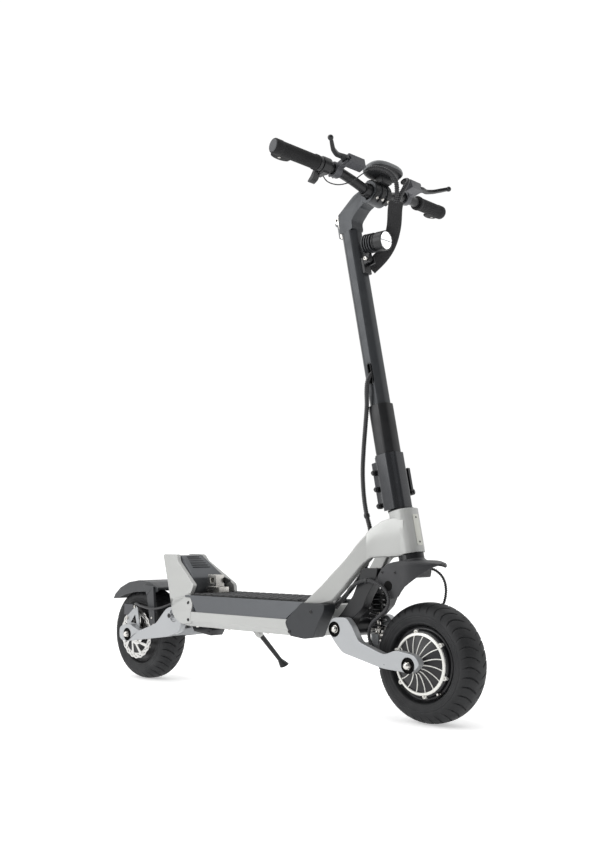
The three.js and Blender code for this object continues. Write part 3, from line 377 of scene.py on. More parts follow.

# The mirror dish glows: a painted reflection, not a lamp.
glow(M["painted_glow_reflector"].node_tree.nodes["Principled BSDF"], 0.7)


# ------------------------------------------------------------------ pieces
def settle(mesh, crease=30):
    mesh.polygons.foreach_set("use_smooth", [True] * len(mesh.polygons))
    mesh.set_sharp_from_angle(angle=math.radians(crease))
    mesh.update()


def piece(name, mesh, body, material, slot=None, stands_for=(), crease=30):
    """Puts a mesh in the scene as a piece that rides on a body."""
    mesh.materials.clear()
    mesh.materials.append(M[material])
    settle(mesh, crease)
    obj = bpy.data.objects.new(name, mesh)
    scene.collection.objects.link(obj)
    if body:
        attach(obj, body)
    for node in stands_for:
        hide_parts(node)
    return obj


def form(name, shape, body, material, node=None, crease=30):
    """Makes a piece from points and faces; node names the CAD node that it stands for."""
    slot, stands_for = (SLOT[node], (node,)) if node else (None, ())
    return piece(name, mesh_of(name, *shape), body, material, slot, stands_for, crease)


def weld(mesh, distance=1e-6):
    """Joins points that coincide and turns every face outwards."""
    bm = bmesh.new()
    bm.from_mesh(mesh)
    bmesh.ops.remove_doubles(bm, verts=bm.verts, dist=distance)
    bmesh.ops.recalc_face_normals(bm, faces=bm.faces)
    bm.to_mesh(mesh)
    bm.free()


def mesh_of(name, points, faces):
    mesh = bpy.data.meshes.new(name)
    mesh.from_pydata([tuple(p) for p in points], [], [tuple(f) for f in faces])
    weld(mesh)
    return mesh


def bands(rows, sides, caps=True):
    """Faces between rows of points, where each row is a closed ring with the same number of sides."""
    faces = []
    for i in range(rows - 1):
        for k in range(sides):
            a, b = i * sides + k, i * sides + (k + 1) % sides
            faces.append((a, b, b + sides, a + sides))
    if caps:
        faces += [tuple(reversed(range(sides))), tuple((rows - 1) * sides + k for k in range(sides))]
    return faces


def fan(count, start=0.0):
    """Angles spaced evenly round a circle."""
    return [start + 2 * math.pi * k / count for k in range(count)]


def polar(radius, angle, centre=(0, 0)):
    return centre[0] + radius * math.cos(angle), centre[1] + radius * math.sin(angle)


def around(u, v, angle):
    """The direction at an angle from u towards v."""
    return u * math.cos(angle) + v * math.sin(angle)


def squared(value, power):
    """A sine or cosine raised to a power with its sign kept, which squares off an oval."""
    return math.copysign(abs(value) ** power, value)


def heading(line, i, reach=1):
    """The direction of a line near its point i."""
    return (line[min(i + reach, len(line) - 1)] - line[max(i - reach, 0)]).normalized()


def basis(axis):
    axis = Vector(axis).normalized()
    side = axis.cross(RISE if abs(axis.z) < 0.9 else AHEAD).normalized()
    return axis, side, side.cross(axis)


def lathe(profile, origin, axis, segments=48, closed=False):
    """Points and faces of a profile of (radius, distance) in mm turned about an axis."""
    axis, u, v = basis(axis)
    points, faces, n = [], [], len(profile)
    for a in fan(segments):
        points += [origin + (around(u, v, a) * r + axis * t) / 1000 for r, t in profile]
    spans = n if closed else n - 1
    for i in range(segments):
        for j in range(spans):
            a, b = i * n + j, i * n + (j + 1) % n
            c, d = ((i + 1) % segments) * n + (j + 1) % n, ((i + 1) % segments) * n + j
            faces.append((a, b, c, d))
    return points, faces


def merged(*parts):
    points, faces = [], []
    for more_points, more_faces in parts:
        base = len(points)
        points += more_points
        faces += [tuple(base + i for i in face) for face in more_faces]
    return points, faces


def rounded(profile, radius=0.6, steps=2):
    """A profile with its inner corners cut round."""
    out = [profile[0]]
    for before, here, after in zip(profile, profile[1:], profile[2:]):
        h, a, b = Vector(here), Vector(before), Vector(after)
        da, db = (a - h).length, (b - h).length
        r = min(radius, da * 0.45, db * 0.45)
        if r < 0.02:
            out.append(here)
            continue
        p, q = h + (a - h) * (r / da), h + (b - h) * (r / db)
        for k in range(steps + 1):
            t = k / steps
            out.append(tuple((p * (1 - t) ** 2) + h * (2 * t * (1 - t)) + q * t * t))
    return out + [profile[-1]]


def smooth_line(points, step=0.004):
    """A centripetal Catmull-Rom line through the points, in short even steps."""
    p = [Vector(q) for q in points]
    p = [p[0] * 2 - p[1], *p, p[-1] * 2 - p[-2]]
    line = []
    for a, b, c, d in zip(p, p[1:], p[2:], p[3:]):
        t1 = (b - a).length ** 0.5
        t2 = t1 + (c - b).length ** 0.5
        t3 = t2 + (d - c).length ** 0.5
        n = max(2, math.ceil((c - b).length / step))
        for k in range(n):
            t = t1 + (t2 - t1) * k / n
            a1 = a * ((t1 - t) / t1) + b * (t / t1)
            a2 = b * ((t2 - t) / (t2 - t1)) + c * ((t - t1) / (t2 - t1))
            a3 = c * ((t3 - t) / (t3 - t2)) + d * ((t - t2) / (t3 - t2))
            b1 = a1 * ((t2 - t) / t2) + a2 * (t / t2)
            b2 = a2 * ((t3 - t) / (t3 - t1)) + a3 * ((t - t1) / (t3 - t1))
            line.append(b1 * ((t2 - t) / (t2 - t1)) + b2 * ((t - t1) / (t2 - t1)))
    return line + [p[-2]]


def resampled(line, step):
    gaps = [(b - a).length for a, b in zip(line, line[1:])]
    total, count = sum(gaps), max(2, round(sum(gaps) / step))
    out, i, walked = [line[0]], 0, 0.0
    for k in range(1, count):
        goal = total * k / count
        while walked + gaps[i] < goal:
            walked += gaps[i]
            i += 1
        out.append(line[i].lerp(line[i + 1], (goal - walked) / gaps[i]))
    return out + [line[-1]]


def tube(line, radius, sides=14):
    """Points and faces of a tube down a line; radius may be a function of (distance, angle)."""
    points, across, walked = [], None, 0.0
    for i, here in enumerate(line):
        way = heading(line, i)
        across = basis(way)[1] if across is None else (across - way * across.dot(way)).normalized()
        other = way.cross(across)
        if i:
            walked += (here - line[i - 1]).length
        for a in fan(sides):
            r = radius(walked, a) if callable(radius) else radius
            points.append(here + around(across, other, a) * r)
    return points, bands(len(line), sides)


def spiral(radius, pitch=0.0046, depth=0.0012):
    """The radius of a spiral wrap: a flat band with a narrow gap between turns."""

    def at_angle(distance, angle):
        phase = (distance / pitch + angle / (2 * math.pi)) % 1.0
        gap = min(phase, 1 - phase)
        return radius - depth * max(0.0, min(1.0, 1.6 - gap / 0.17))

    return at_angle


def cut_neck(bm, above, offset, narrowing=0.08):
    """Cuts the long side edges of a stem piece back and narrows the part of it below a height."""
    edges = [e for e in bm.edges if e.calc_length() > 0.012 and len(e.link_faces) == 2
             and abs((e.verts[1].co - e.verts[0].co).normalized().dot(LEFT)) < 0.05
             and e.calc_face_angle(0) > math.radians(60)]
    bmesh.ops.bevel(bm, geom=edges, offset=offset, segments=2, profile=0.5, affect="EDGES",
                    clamp_overlap=True)
    for v in bm.verts:
        away = v.co - on_stem(0, 0, 0)
        if away.dot(UP) < above:
            v.co -= FORE * (away.dot(FORE) * narrowing) + LEFT * (away.y * narrowing)


def soften(node, material, width=0.9, segments=2, limit=20, reshape=None):
    """Stands for a hard CAD node: the same solid with every corner broken."""
    bm = bmesh.new()
    bm.from_mesh(frame["nodes"][node].data)
    bmesh.ops.remove_doubles(bm, verts=bm.verts, dist=2e-5)
    bmesh.ops.dissolve_limit(bm, angle_limit=math.radians(0.6), verts=bm.verts, edges=bm.edges)
    if reshape:
        reshape(bm)
    bmesh.ops.connect_verts_concave(bm, faces=bm.faces[:])
    layer = bm.edges.layers.float.new("bevel_weight_edge")
    shortest = {v: min((e.calc_length() for e in v.link_edges), default=0) for v in bm.verts}
    for edge in bm.edges:
        if len(edge.link_faces) == 2 and edge.calc_face_angle(0) > math.radians(limit):
            room = 0.38 * min(shortest[v] for v in edge.verts)
            edge[layer] = max(0.02, min(1.0, room / (width / 1000)))
    mesh = bpy.data.meshes.new(f"{node}_shell")
    bm.to_mesh(mesh)
    bm.free()
    obj = piece(mesh.name, mesh, BODY[node], material, SLOT[node], (node,), crease=limit + 2)
    bevel = obj.modifiers.new("corners", "BEVEL")
    bevel.limit_method = "WEIGHT"
    bevel.width = width / 1000
    bevel.segments = segments
    bevel.use_clamp_overlap = False
    bevel.harden_normals = True
    return obj


def flat_plate(name, rings, thickness, origin, axes, body, material, bevel=0.25, **kw):
    """A plate from closed outlines in mm, the first outside and the rest holes, laid on two axes."""
    curve = bpy.data.curves.new(name, "CURVE")
    curve.dimensions = "2D"
    curve.fill_mode = "BOTH"
    curve.extrude = thickness / 2000 - bevel / 1000
    curve.bevel_depth = bevel / 1000
    curve.bevel_resolution = 1
    for ring in rings:
        spline = curve.splines.new("POLY")
        spline.points.add(len(ring) - 1)
        for point, (x, y) in zip(spline.points, ring):
            point.co = (x / 1000, y / 1000, 0, 1)
        spline.use_cyclic_u = True
    holder = bpy.data.objects.new(name, curve)
    mesh = bpy.data.meshes.new_from_object(holder)
    bpy.data.objects.remove(holder)
    bpy.data.curves.remove(curve)
    u, v = axes
    matrix = Matrix.Identity(4)
    for i, axis in enumerate((u, v, u.cross(v))):
        matrix.col[i] = (*axis, 0)
    matrix.col[3] = (*origin, 1)
    mesh.transform(matrix)
    weld(mesh)
    mesh.name = name
    return piece(name, mesh, body, material, **kw)


def ring_points(radius, count, wave=0.0, waves=0, start=0.0):
    return [polar(radius + wave * math.cos(waves * a), a) for a in fan(count, start)]


def round_box(size, corner, origin, axes=None, segments=3):
    """Points and faces of a box in mm with rounded edges, centred on origin and laid on three axes."""
    bm = bmesh.new()
    bmesh.ops.create_cube(bm, size=1)
    for v in bm.verts:
        v.co = Vector((v.co.x * size[0], v.co.y * size[1], v.co.z * size[2]))
    bmesh.ops.bevel(bm, geom=list(bm.edges), offset=corner, segments=segments, profile=0.5, affect="EDGES")
    u, v, w = axes or (AHEAD, LEFT, RISE)
    points = [origin + (u * p.co.x + v * p.co.y + w * p.co.z) / 1000 for p in bm.verts]
    bm.verts.index_update()
    faces = [tuple(p.index for p in f.verts) for f in bm.faces]
    bm.free()
    return points, faces


def bolts(name, places, axis, body, radius=3.0, height=2.0, material="black_steel", sides=16, socket=0.45):
    """Button-head bolts with round sockets, as one piece."""
    inner = radius * socket
    dome = [(0, -0.6), (radius, -0.6), (radius, height * 0.45), (radius * 0.86, height * 0.86),
            (radius * 0.55, height), (inner, height), (inner, height * 0.3), (0, height * 0.3)]
    shape = merged(*(lathe(dome, place, axis, sides) for place in places))
    return form(name, shape, body, material, crease=38)


# ------------------------------------------------------------------ wheels
def hub_centre(end, y=0.0):
    return at(WHEEL_X[end], y, AXLE_Z)


TYRE_HALF = [(0, 127.4), (7, 127.2), (14, 126.4), (21, 124.6), (27, 121.9), (32.5, 118.2), (36.6, 113.4),
             (39.0, 108.0), (39.8, 103.4), (39.5, 101.2), (39.0, 100.4), (39.4, 99.4), (39.6, 97.6),
             (38.9, 96.6), (38.4, 93.4), (37.4, 90.2), (36.4, 87.6), (36.6, 86.6), (36.0, 84.6),
             (33.2, 82.2), (29.5, 80.8), (28, 80)]


def tyre(end):
    """A ringed sidewall and a crown cut by curved sipes on both shoulders."""
    fine = smooth_line([Vector((y, r, 0)) for y, r in TYRE_HALF], 1.3)
    half = [(p.x, p.y) for p in fine]
    walked = [0.0]
    for a, b in zip(half, half[1:]):
        walked.append(walked[-1] + math.dist(a, b))
    sipes, count, tread, shoulder = 36, 36 * 18, 126, 50
    pitch = 2 * math.pi * tread / sipes
    profile = [(y, r, s, 1) for (y, r), s in zip(half, walked)]
    profile += [(-y, r, s, -1) for (y, r), s in list(zip(half, walked))[:0:-1]]
    angles = np.arange(count) * 2 * math.pi / count
    rows = []
    for y, r, s, side in profile:
        share = min(1.0, max(0.0, (shoulder - s) / 46))
        lead = 10.5 * math.sin(math.pi * share ** 0.8) - 5 * share
        place = angles * tread - side * 5.5 - lead
        phase = np.abs((place / pitch + 0.5) % 1.0 - 0.5) * pitch
        ends = max(0.0, min(1.0, (s - 3.5) / 3)) * max(0.0, min(1.0, (shoulder - s) / 6))
        depth = 2.6 * ends * np.clip(1 - (phase / 1.7) ** 2, 0, 1)
        scale = 0.35 + 0.65 * min(1.0, abs(s - shoulder) / 14)
        rib = 0.35 * ends * np.clip(1 - (np.abs(phase - 7.0) / 1.2) ** 2, 0, 1) * (s > 30)
        radius = r - depth * scale - rib
        wall = np.full(count, y) - np.sign(y) * depth * 0.25
        rows.append(np.stack([np.cos(angles) * radius, wall, np.sin(angles) * radius], axis=1))
    grid = np.stack(rows, axis=1) / 1000 + np.array(hub_centre(end))
    n = len(profile)
    i, j = np.meshgrid(np.arange(count), np.arange(n), indexing="ij")
    i2, j2 = (i + 1) % count, (j + 1) % n
    quads = np.stack([i * n + j, i * n + j2, i2 * n + j2, i2 * n + j], axis=-1).reshape(-1, 4)
    shape = (grid.reshape(-1, 3).tolist(), quads.tolist())
    form(f"{end}_tyre_tread", shape, BODY[f"{end}_tyre"], "tyre", f"{end}_tyre", crease=50)


COVER = [(9, 55), (16.5, 55), (18.2, 54.2), (20.8, 50), (30, 46.6), (45, 42.2), (58, 38.6), (66, 36.6),
         (69, 35.6), (70.6, 33), (71.2, 27), (75, 25.6), (77.6, 27.5), (79.2, 30)]
INNER = [(79.4, 30), (79.4, -30), (77.6, -28.2), (74, -26), (70, -25.6), (58, -27.6), (30, -30),
         (26, -31.4), (26, -45), (9, -45.2), (9, 55)]


def cover_height(radius):
    for (r0, y0), (r1, y1) in zip(COVER, COVER[1:]):
        if r0 <= radius <= r1:
            return y0 + (y1 - y0) * (radius - r0) / (r1 - r0)
    return COVER[-1][1]


def hub(end, cover_side):
    """The motor's black cover with its curved white ribs, the clamped ring and its lugs."""
    node = f"{end}_hub_motor"
    body, centre = BODY[node], hub_centre(end)
    shell = lathe(rounded(COVER, 1.2, 3) + INNER[1:], centre, LEFT * cover_side, 96)
    form(f"{end}_hub_shell", shell, body, "hub_black", node, crease=35)
    axis, u, v = basis(LEFT * cover_side)

    def rib(start, steps=14):
        line = []
        for i in range(steps + 1):
            r, a = 17.6 + 43.4 * i / steps, start + 0.17 * (i / steps) ** 1.6
            line.append(centre + (around(u, v, a) * r + axis * (cover_height(r) + 0.5)) / 1000)
        return tube(line, 0.00118, 8)

    form(f"{end}_hub_ribs", merged(*(rib(a) for a in fan(16))), body, "rib_white", crease=50)
    ring = [(59.2, 37.2), (59.2, 40.4), (60.2, 41.4), (64.4, 40.4), (65.6, 39.2), (65.6, 35.6)]
    form(f"{end}_hub_ring", lathe(ring, centre, axis, 96, closed=True), body, "rib_white")
    lug = [(0, 30), (4.9, 30), (4.9, 38.6), (4.3, 39.4), (0, 39.4)]
    head = [(0, 39), (2.7, 39), (2.7, 40.6), (2.1, 41.6), (1.1, 41.7), (1.1, 40.4), (0, 40.4)]
    places = [centre + around(u, v, a) * 0.0672 for a in fan(6, 0.7 * math.pi / 6)]
    form(f"{end}_hub_lugs", merged(*(lathe(lug, place, axis, 20) for place in places)), body, "rib_white")
    form(f"{end}_hub_lug_bolts", merged(*(lathe(head, place, axis, 12) for place in places)), body, "steel")
    stem = centre + around(u, v, 2 * math.pi * 3.88 / 6) * 0.0735
    valve = [(0, 24), (3.4, 24), (3.4, 31), (2.6, 32), (2.6, 38), (2.2, 38.6), (0, 38.6)]
    form(f"{end}_valve", lathe(valve, stem, axis, 16), body, "steel", crease=35)
    back = [centre + around(u, v, a) * 0.052 - axis * 0.0274 for a in fan(8)]
    bolts(f"{end}_hub_back_bolts", back, -axis, body, 3.2, 2.4, "steel")


def disc(end, side):
    """A wavy rotor: a slotted outer band on swept arms, bolted to the hub."""
    node = f"{end}_brake_disc"
    centre = hub_centre(end, side * 47.6)
    rings = [ring_points(68.6, 200, 1.1, 20)]
    for a in fan(10):
        outer = [polar(54.5, a + t) for t in np.linspace(0.05, 0.50, 8)]
        inner = [polar(31, a + t) for t in np.linspace(0.82, 0.44, 6)]
        rings.append(outer + inner)
    for a in fan(20):
        for radius, turn, half in ((63.6, 0.0, 3.6), (58.9, 0.15, 2.2)):
            middle = polar(radius, a + turn)
            c, s = polar(1, a + turn + 0.5)
            slot = [(x, y + math.copysign(half * 0.6, y)) for x, y in ring_points(1.5, 10, start=0.1)]
            rings.append([(middle[0] + x * c - y * s, middle[1] + x * s + y * c) for x, y in slot])
    bolt_angles = fan(5, math.pi / 5)
    rings += [[polar(2.2, t, polar(22, a)) for t in fan(10)] for a in bolt_angles]
    rings.append(ring_points(13, 40))
    flat_plate(f"{end}_rotor", rings, 2.4, centre, (AHEAD * side, RISE), BODY[node], "disc_steel",
               slot=SLOT[node], stands_for=(node,), crease=35)
    places = [centre + (around(AHEAD * side, RISE, a) * 22 + LEFT * side * 1.2) / 1000 for a in bolt_angles]
    bolts(f"{end}_rotor_bolts", places, LEFT * side, BODY[node], 3.0, 1.3, "steel")


def axle(end):
    """The plain axle, with a washer, a hexagon nut and its dome at each end."""
    node = f"{end}_axle"
    centre = hub_centre(end)
    parts = [lathe([(0, -76), (5.8, -76), (5.8, 76), (0, 76)], centre, LEFT, 24)]
    washer = [(0, 75.4), (14.4, 75.4), (14.8, 75.8), (14.8, 77), (14.4, 77.4), (0, 77.4)]
    nut = [(0, 77.2), (8.4, 77.2), (9.4, 78), (9.4, 82), (8.6, 83), (0, 83)]
    dome = [(0, 82.6), (7.6, 82.6), (7.6, 84)]
    dome += [(7.6 * math.cos(t), 84 + 6 * math.sin(t)) for t in np.linspace(0.1, 1.57, 8)[:-1]] + [(0, 90)]
    for name, side in SIDES.items():
        out = LEFT * side
        shape = lathe(washer, centre, out, 40)
        # The washers are real parts, drawn in the near-black painted shade of the pockets round them.
        form(f"{end}_axle_washer_{name}", shape, BODY[node], "painted_shade_black", crease=35)
        parts += [lathe(nut, centre, out, 6), lathe(dome, centre, out, 32)]
    form(f"{end}_axle_nuts", merged(*parts), BODY[node], "steel", node, crease=35)


def recess(name, centre, side, body, hole):
    """A near-black, dull cup in a round pocket in an arm: painted shade for the inside of the pocket."""
    cup = [(hole, 75.15), (16.7, 75.15), (16.7, 79.9), (15.7, 79.9), (15.4, 76), (hole, 76)]
    form(name, lathe(cup, centre, LEFT * side, 40, closed=True), body, "painted_shade_black")


def make_wheels():
    for end, disc_side in (("front", 1), ("rear", -1)):
        tyre(end)
        hub(end, -disc_side)
        disc(end, disc_side)
        axle(end)
        for name, side in SIDES.items():
            recess(f"{end}_axle_recess_{name}", hub_centre(end), side, f"{end}_arm", 6.6)
    nut = [(0, 76.2), (8.0, 76.2), (8.6, 76.8), (8.6, 77.8), (7.6, 78), (7.6, 80.4), (6.2, 83.2), (3.4, 84.8)]
    nut += [(0, 85)]
    for name, side in SIDES.items():
        pivot = at(PIVOT_X["front"], 0, PIVOT_Z)
        recess(f"front_pivot_recess_{name}", pivot, side, "front_arm", 7.2)
        form(f"front_pivot_nut_{name}", lathe(nut, pivot, LEFT * side, 32), "front_arm", "steel", crease=35)


# ------------------------------------------------------------------ suspension
def eye(radius, hole=4.6):
    """The section of a shock's eye."""
    flat = radius - 0.8
    return [(hole, -10.6), (flat, -10.6), (radius, -9.8), (radius, 9.8), (flat, 10.6), (hole, 10.6)]


def shock(end, top, low):
    """A damper in a ribbed black boot, with its coil spring and its eyes."""
    a, b = at(top[0], 0, top[1]), at(low[0], 0, low[1])
    axis, length = (b - a).normalized(), (b - a).length * 1000
    body, rod, spring = f"{end}_shock_body", f"{end}_shock_rod", f"{end}_spring"
    boot = [(0, 7), (8.6, 7), (9.6, 8), (9.6, 13.4), (18.4, 14), (19.3, 14.9), (19.3, 19.1), (18.4, 20)]
    boot += [(11.6, 20)]
    t = 21.0
    while t < length * 0.52:
        boot += [(12.6, t), (12.9, t + 1.2), (11.2, t + 2.2), (10.6, t + 3.0)]
        t += 4.0
    boot += [(9.4, length * 0.545), (6.9, length * 0.55), (6.9, length * 0.3), (0, length * 0.3)]
    shape = merged(lathe(boot, a, axis, 48), lathe(eye(9.9), a, LEFT, 36, closed=True))
    form(f"{end}_damper", shape, BODY[body], "black_metal", body, crease=40)
    shaft = [(0, length * 0.46), (5.2, length * 0.46)]
    seat = ((5.2, 20), (13, 20), (18.4, 19), (19.3, 18.2), (19.3, 14.9), (18.4, 14), (8, 14), (7, 8), (0, 8))
    shaft += [(r, length - t) for r, t in seat]
    shape = merged(lathe(shaft, a, axis, 40), lathe(eye(10.8, 6.6), b, LEFT, 36, closed=True))
    form(f"{end}_damper_rod", shape, BODY[rod], "steel", rod, crease=40)
    turns, first, last, per_turn = 6.5, 22.2, length - 22.6, 32
    u, v = basis(axis)[1:]
    line = []
    for i in range(int(turns * per_turn) + 1):
        share = i / (turns * per_turn)
        squeeze = min(1.0, share * turns, (1 - share) * turns)
        rise = share + 0.06 * (math.sin(math.pi * squeeze / 2) - 1) * (0.5 - share) * 2
        out = around(u, v, 2 * math.pi * i / per_turn)
        line.append(a + (out * 16.6 + axis * (first + (last - first) * rise)) / 1000)
    coil = form(f"{end}_coil", tube(line, 0.0024, 12), BODY[spring], "black_steel", spring, crease=50)
    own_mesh(coil)


# ------------------------------------------------------------------ deck
def make_mat():
    """The rubber mat: a thin sheet with rows of raised blocks, staggered like bricks."""
    node = "deck_mat"
    low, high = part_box(node)
    sheet_top, block_top = low[2] + 0.0014, high[2] + 0.0008
    middle_x, half = (low[0] + high[0]) / 2, (high[0] - low[0]) * 500
    outline = [(-half - 26, -66), (-half, -80), (half - 19, -80), (half - 1, -66)]
    outline += [(x, -y) for x, y in reversed(outline)]
    axes = (AHEAD, LEFT)
    centre, thickness = Vector((middle_x, 0, (low[2] + sheet_top) / 2)), (sheet_top - low[2]) * 1000
    flat_plate("deck_mat_sheet", [outline], thickness, centre, axes, "frame", "mat_rubber", slot=SLOT[node],
               stands_for=(node,))
    blocks, pitch_x, pitch_y, rows = [], 24.0, 17.6, 9
    for i in range(int((2 * half - 14) / pitch_x)):
        for j in range(rows):
            x = -half + 13 + pitch_x * (i + (0.5 if j % 2 else 0))
            y = (j - rows // 2) * pitch_y
            if x <= half - 12 - max(0, abs(y) - 56) * 1.2:
                place = Vector((middle_x + x / 1000, y / 1000, sheet_top))
                blocks.append(stud(place, 9.4, 6.2, (block_top - sheet_top) * 1000))
    form("deck_mat_blocks", merged(*blocks), "frame", "mat_block", crease=35)
    rim = [(3 - half, 79.2), (3 - half, 76.4), (half - 20, 76.4), (half - 20, 79.2)]
    for name, side in SIDES.items():
        edge = [(x, side * y) for x, y in rim]
        centre = Vector((middle_x, 0, sheet_top + 0.0007))
        flat_plate(f"deck_mat_rim_{name}", [edge], 1.6, centre, axes, "frame", "mat_rubber")


def stud(place, half_x, half_y, height):
    """A raised block with cut corners, sloping sides and a shallow dish in its top."""
    ring = [(-1, -0.55), (-0.72, -1), (0.72, -1), (1, -0.55), (1, 0.55), (0.72, 1), (-0.72, 1), (-1, 0.55)]
    levels = [(0.0, -0.2), (0.0, height * 0.4), (0.9, height * 0.9)]
    levels += [(1.5, height), (3.0, height), (3.6, height - 0.5)]
    points = [place + Vector((x * (half_x - inset), y * (half_y - inset), z)) / 1000
              for inset, z in levels for x, y in ring]
    return points, bands(len(levels), len(ring))


def bend_kickstand(stand):
    """Sets the stand's leg back and up from its CAD place, and makes it wider."""
    hinge = at(0, 0, 155).z
    low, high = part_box("kickstand")
    middle_y = (low[1] + high[1]) / 2
    for v in stand.data.vertices:
        if v.co.z < hinge:
            v.co.x -= 0.010
            v.co.z = hinge - (hinge - v.co.z) * 0.87
            v.co.y = middle_y + (v.co.y - middle_y) * 1.25


def make_kickplate_ribs():
    top, low = (184, 347), (228, 314)
    turn = math.atan2(low[1] - top[1], low[0] - top[0])
    u = Vector((math.cos(turn), 0, math.sin(turn)))
    ribs = []
    for k in range(6):
        t = (0.10 + 0.13 * k) * 1.25
        x, z = top[0] + (low[0] - top[0]) * t, top[1] + (low[1] - top[1]) * t
        width = 2 * (62 - 0.32 * (z - 249)) - 22
        ribs.append(round_box((4.2, width, 3.4), 1.2, at(x, 0, z + 0.2), (u, LEFT, u.cross(LEFT)), 2))
    form("kickplate_ribs", merged(*ribs), "frame", "dark_casting", crease=40)


def make_deck():
    soften("deck_tray", "silver_paint", 1.2)
    soften("deck_cover", "side_paint", 0.8)
    soften("kickplate", "side_paint", 1.6, 3)
    soften("latch_base", "steel", 1.2, 3)
    soften("latch_lever", "black_metal", 1.0)
    bend_kickstand(soften("kickstand", "black_metal", 0.8))
    for node, material in (("battery_pack", "battery_wrap"), ("motor_controller", "black_metal")):
        materials = frame["nodes"][node].data.materials
        materials.clear()
        materials.append(M[material])
    make_mat()
    make_kickplate_ribs()
    seal = round_box((14, 150, 13), 2.0, at(252, 0, 245.5))
    form("kickplate_seal", seal, "frame", "black_plastic", crease=40)
    for name, side in SIDES.items():
        out = LEFT * side
        soften(f"corner_bracket_{name}", "dark_casting", 1.6, 3)
        soften(f"rear_fin_{name}", "silver_paint", 1.8, 3)
        slope = Vector((0, side, 0.32)).normalized()
        cap = {"sides": 18, "socket": 0.42}
        bolts(f"fin_bolt_upper_{name}", [at(281, side * 88.96, 227)], slope, "frame", 4.2, 1.6, **cap)
        bolts(f"fin_bolt_lower_{name}", [at(290, side * 96, 184)], out, "frame", 4.2, 1.6, **cap)
        corner = [at(728, side * 97, 226), at(660, side * 97, 178)]
        bolts(f"corner_bolts_{name}", corner, out, "frame", 4.4, 1.6)
        feet = [at(x, side * 70, 167) for x in (296, 420, 560, 640)]
        bolts(f"deck_foot_bolts_{name}", feet, -RISE, "frame", 3.6, 3.2, "steel")
        pivot = at(PIVOT_X["rear"], side * 94.6, PIVOT_Z)
        bolts(f"rear_pivot_bolt_{name}", [pivot], out, "rear_arm", 6.2, 1.6)


# ------------------------------------------------------------------ frame, fork and arms
def rounded_rectangle(half_x, half_y, corner, steps=3):
    """An outline in mm with round corners, anticlockwise from the lower left corner."""
    out = []
    for quarter, sx, sy in ((2, -1, -1), (3, 1, -1), (0, 1, 1), (1, -1, 1)):
        centre = (sx * (half_x - corner), sy * (half_y - corner))
        out += [polar(corner, math.pi / 2 * (quarter + k / steps), centre) for k in range(steps + 1)]
    return out


def make_chassis():
    soften("head_casting", "silver_paint", 2.0, 3, 18)
    soften("front_swingarm", "arm_paint", 1.4, 3)
    soften("rear_swingarm", "arm_paint", 1.4, 3)
    soften("front_fork", "black_metal", 1.2)
    make_front_guard()
    make_cheeks()
    soften("rear_mudguard", "guard_plastic", 1.4, 3)
    soften("front_caliper", "black_metal", 1.0)
    soften("rear_caliper", "perch_paint", 1.0)
    upright = (AHEAD, RISE)
    bracket = [(-29, 169), (-22, 178), (16, 206), (22, 200), (33, 150), (26, 142), (-18, 141), (-24, 150)]
    window = [(-10, 158), (12, 183), (19, 156)]
    rings = [bracket, window]
    flat_plate("rear_caliper_bracket", rings, 3.0, at(0, -60.2, 0), upright, "rear_arm", "arm_paint", 0.6)
    places = [at(12, -61.8, 203), at(-24, -61.8, 170)]
    bolts("rear_caliper_bolts", places, -LEFT, "rear_arm", 4.2, 4.0, "steel")
    stop = [(203, 180), (221, 146.5), (289, 139.5), (298, 152), (263, 162.5), (228, 180)]
    flat_plate("stop_cover", [stop], 41, at(0, 0, 0), upright, "rear_arm", "black_metal", 1.2)
    plate = rounded_rectangle(9, 34, 3)
    flat_plate("head_plate", [plate], 1.0, on_head(29.4, 0, -49), (LEFT, UP), "frame", "pale_plate")
    screws = [on_head(29.8, 0, -22), on_head(29.8, 0, -76)]
    bolts("head_plate_screws", screws, FORE, "frame", 2.2, 1.0)
    for name, side in SIDES.items():
        def pair(bolts_name, first, second, y, *look, axis=LEFT * side):
            places = [at(x, side * y, z) for x, z in (first, second)]
            bolts(f"{bolts_name}_{name}", places, axis, *look)

        pair("fork_crown_bolts", (900, 328), (935, 328.4), 30, "fork", 3.2, 2, axis=RISE)
        pair("guard_bolts", (905, 318), (940, 318), 58, "fork", 3.0, 1.6)
        pair("stop_cover_bolts", (235, 157), (282, 148), 20.6, "rear_arm", 3.0, 1.4)
        pair("rear_guard_bolts", (88, 176), (96, 158), 61.5, "rear_arm", 3.0, 1.6, "steel")


GUARD = [(891, 300, 317, 57), (900, 290, 328, 58), (912, 276, 336, 58), (927, 262, 340, 58),
         (940, 263, 342, 58), (948, 268, 343, 58), (956, 279, 343, 58), (964, 288, 343, 58),
         (974, 296, 343, 56), (985, 305, 342.4, 51), (996, 314, 341, 44), (1006, 322, 339.6, 36),
         (1014, 329, 338.2, 27), (1020, 333, 336.8, 13)]


def guard_section(low, top, half, inset):
    """Half of a section's ring: up the right wall, over the crown and down the short left lip."""
    crown = max(0.3, min(11.0, max(0.6, top - low) * 0.7, half * 0.5) - inset * 0.5)
    w, t = half - inset, top - inset
    bend = [polar(crown, a, (w - crown, t - crown)) for a in np.linspace(math.pi / 2, 0, 6)]
    flat = np.linspace(crown - w, w - crown, 7)[1:-1]
    over = [(y, t + 1.2 * (1 - (y / max(w - crown, 1)) ** 2)) for y in flat]
    return [(-w, low)] + [(-y, z) for y, z in reversed(bend)] + over + bend + [(w, max(low, top - 8))]


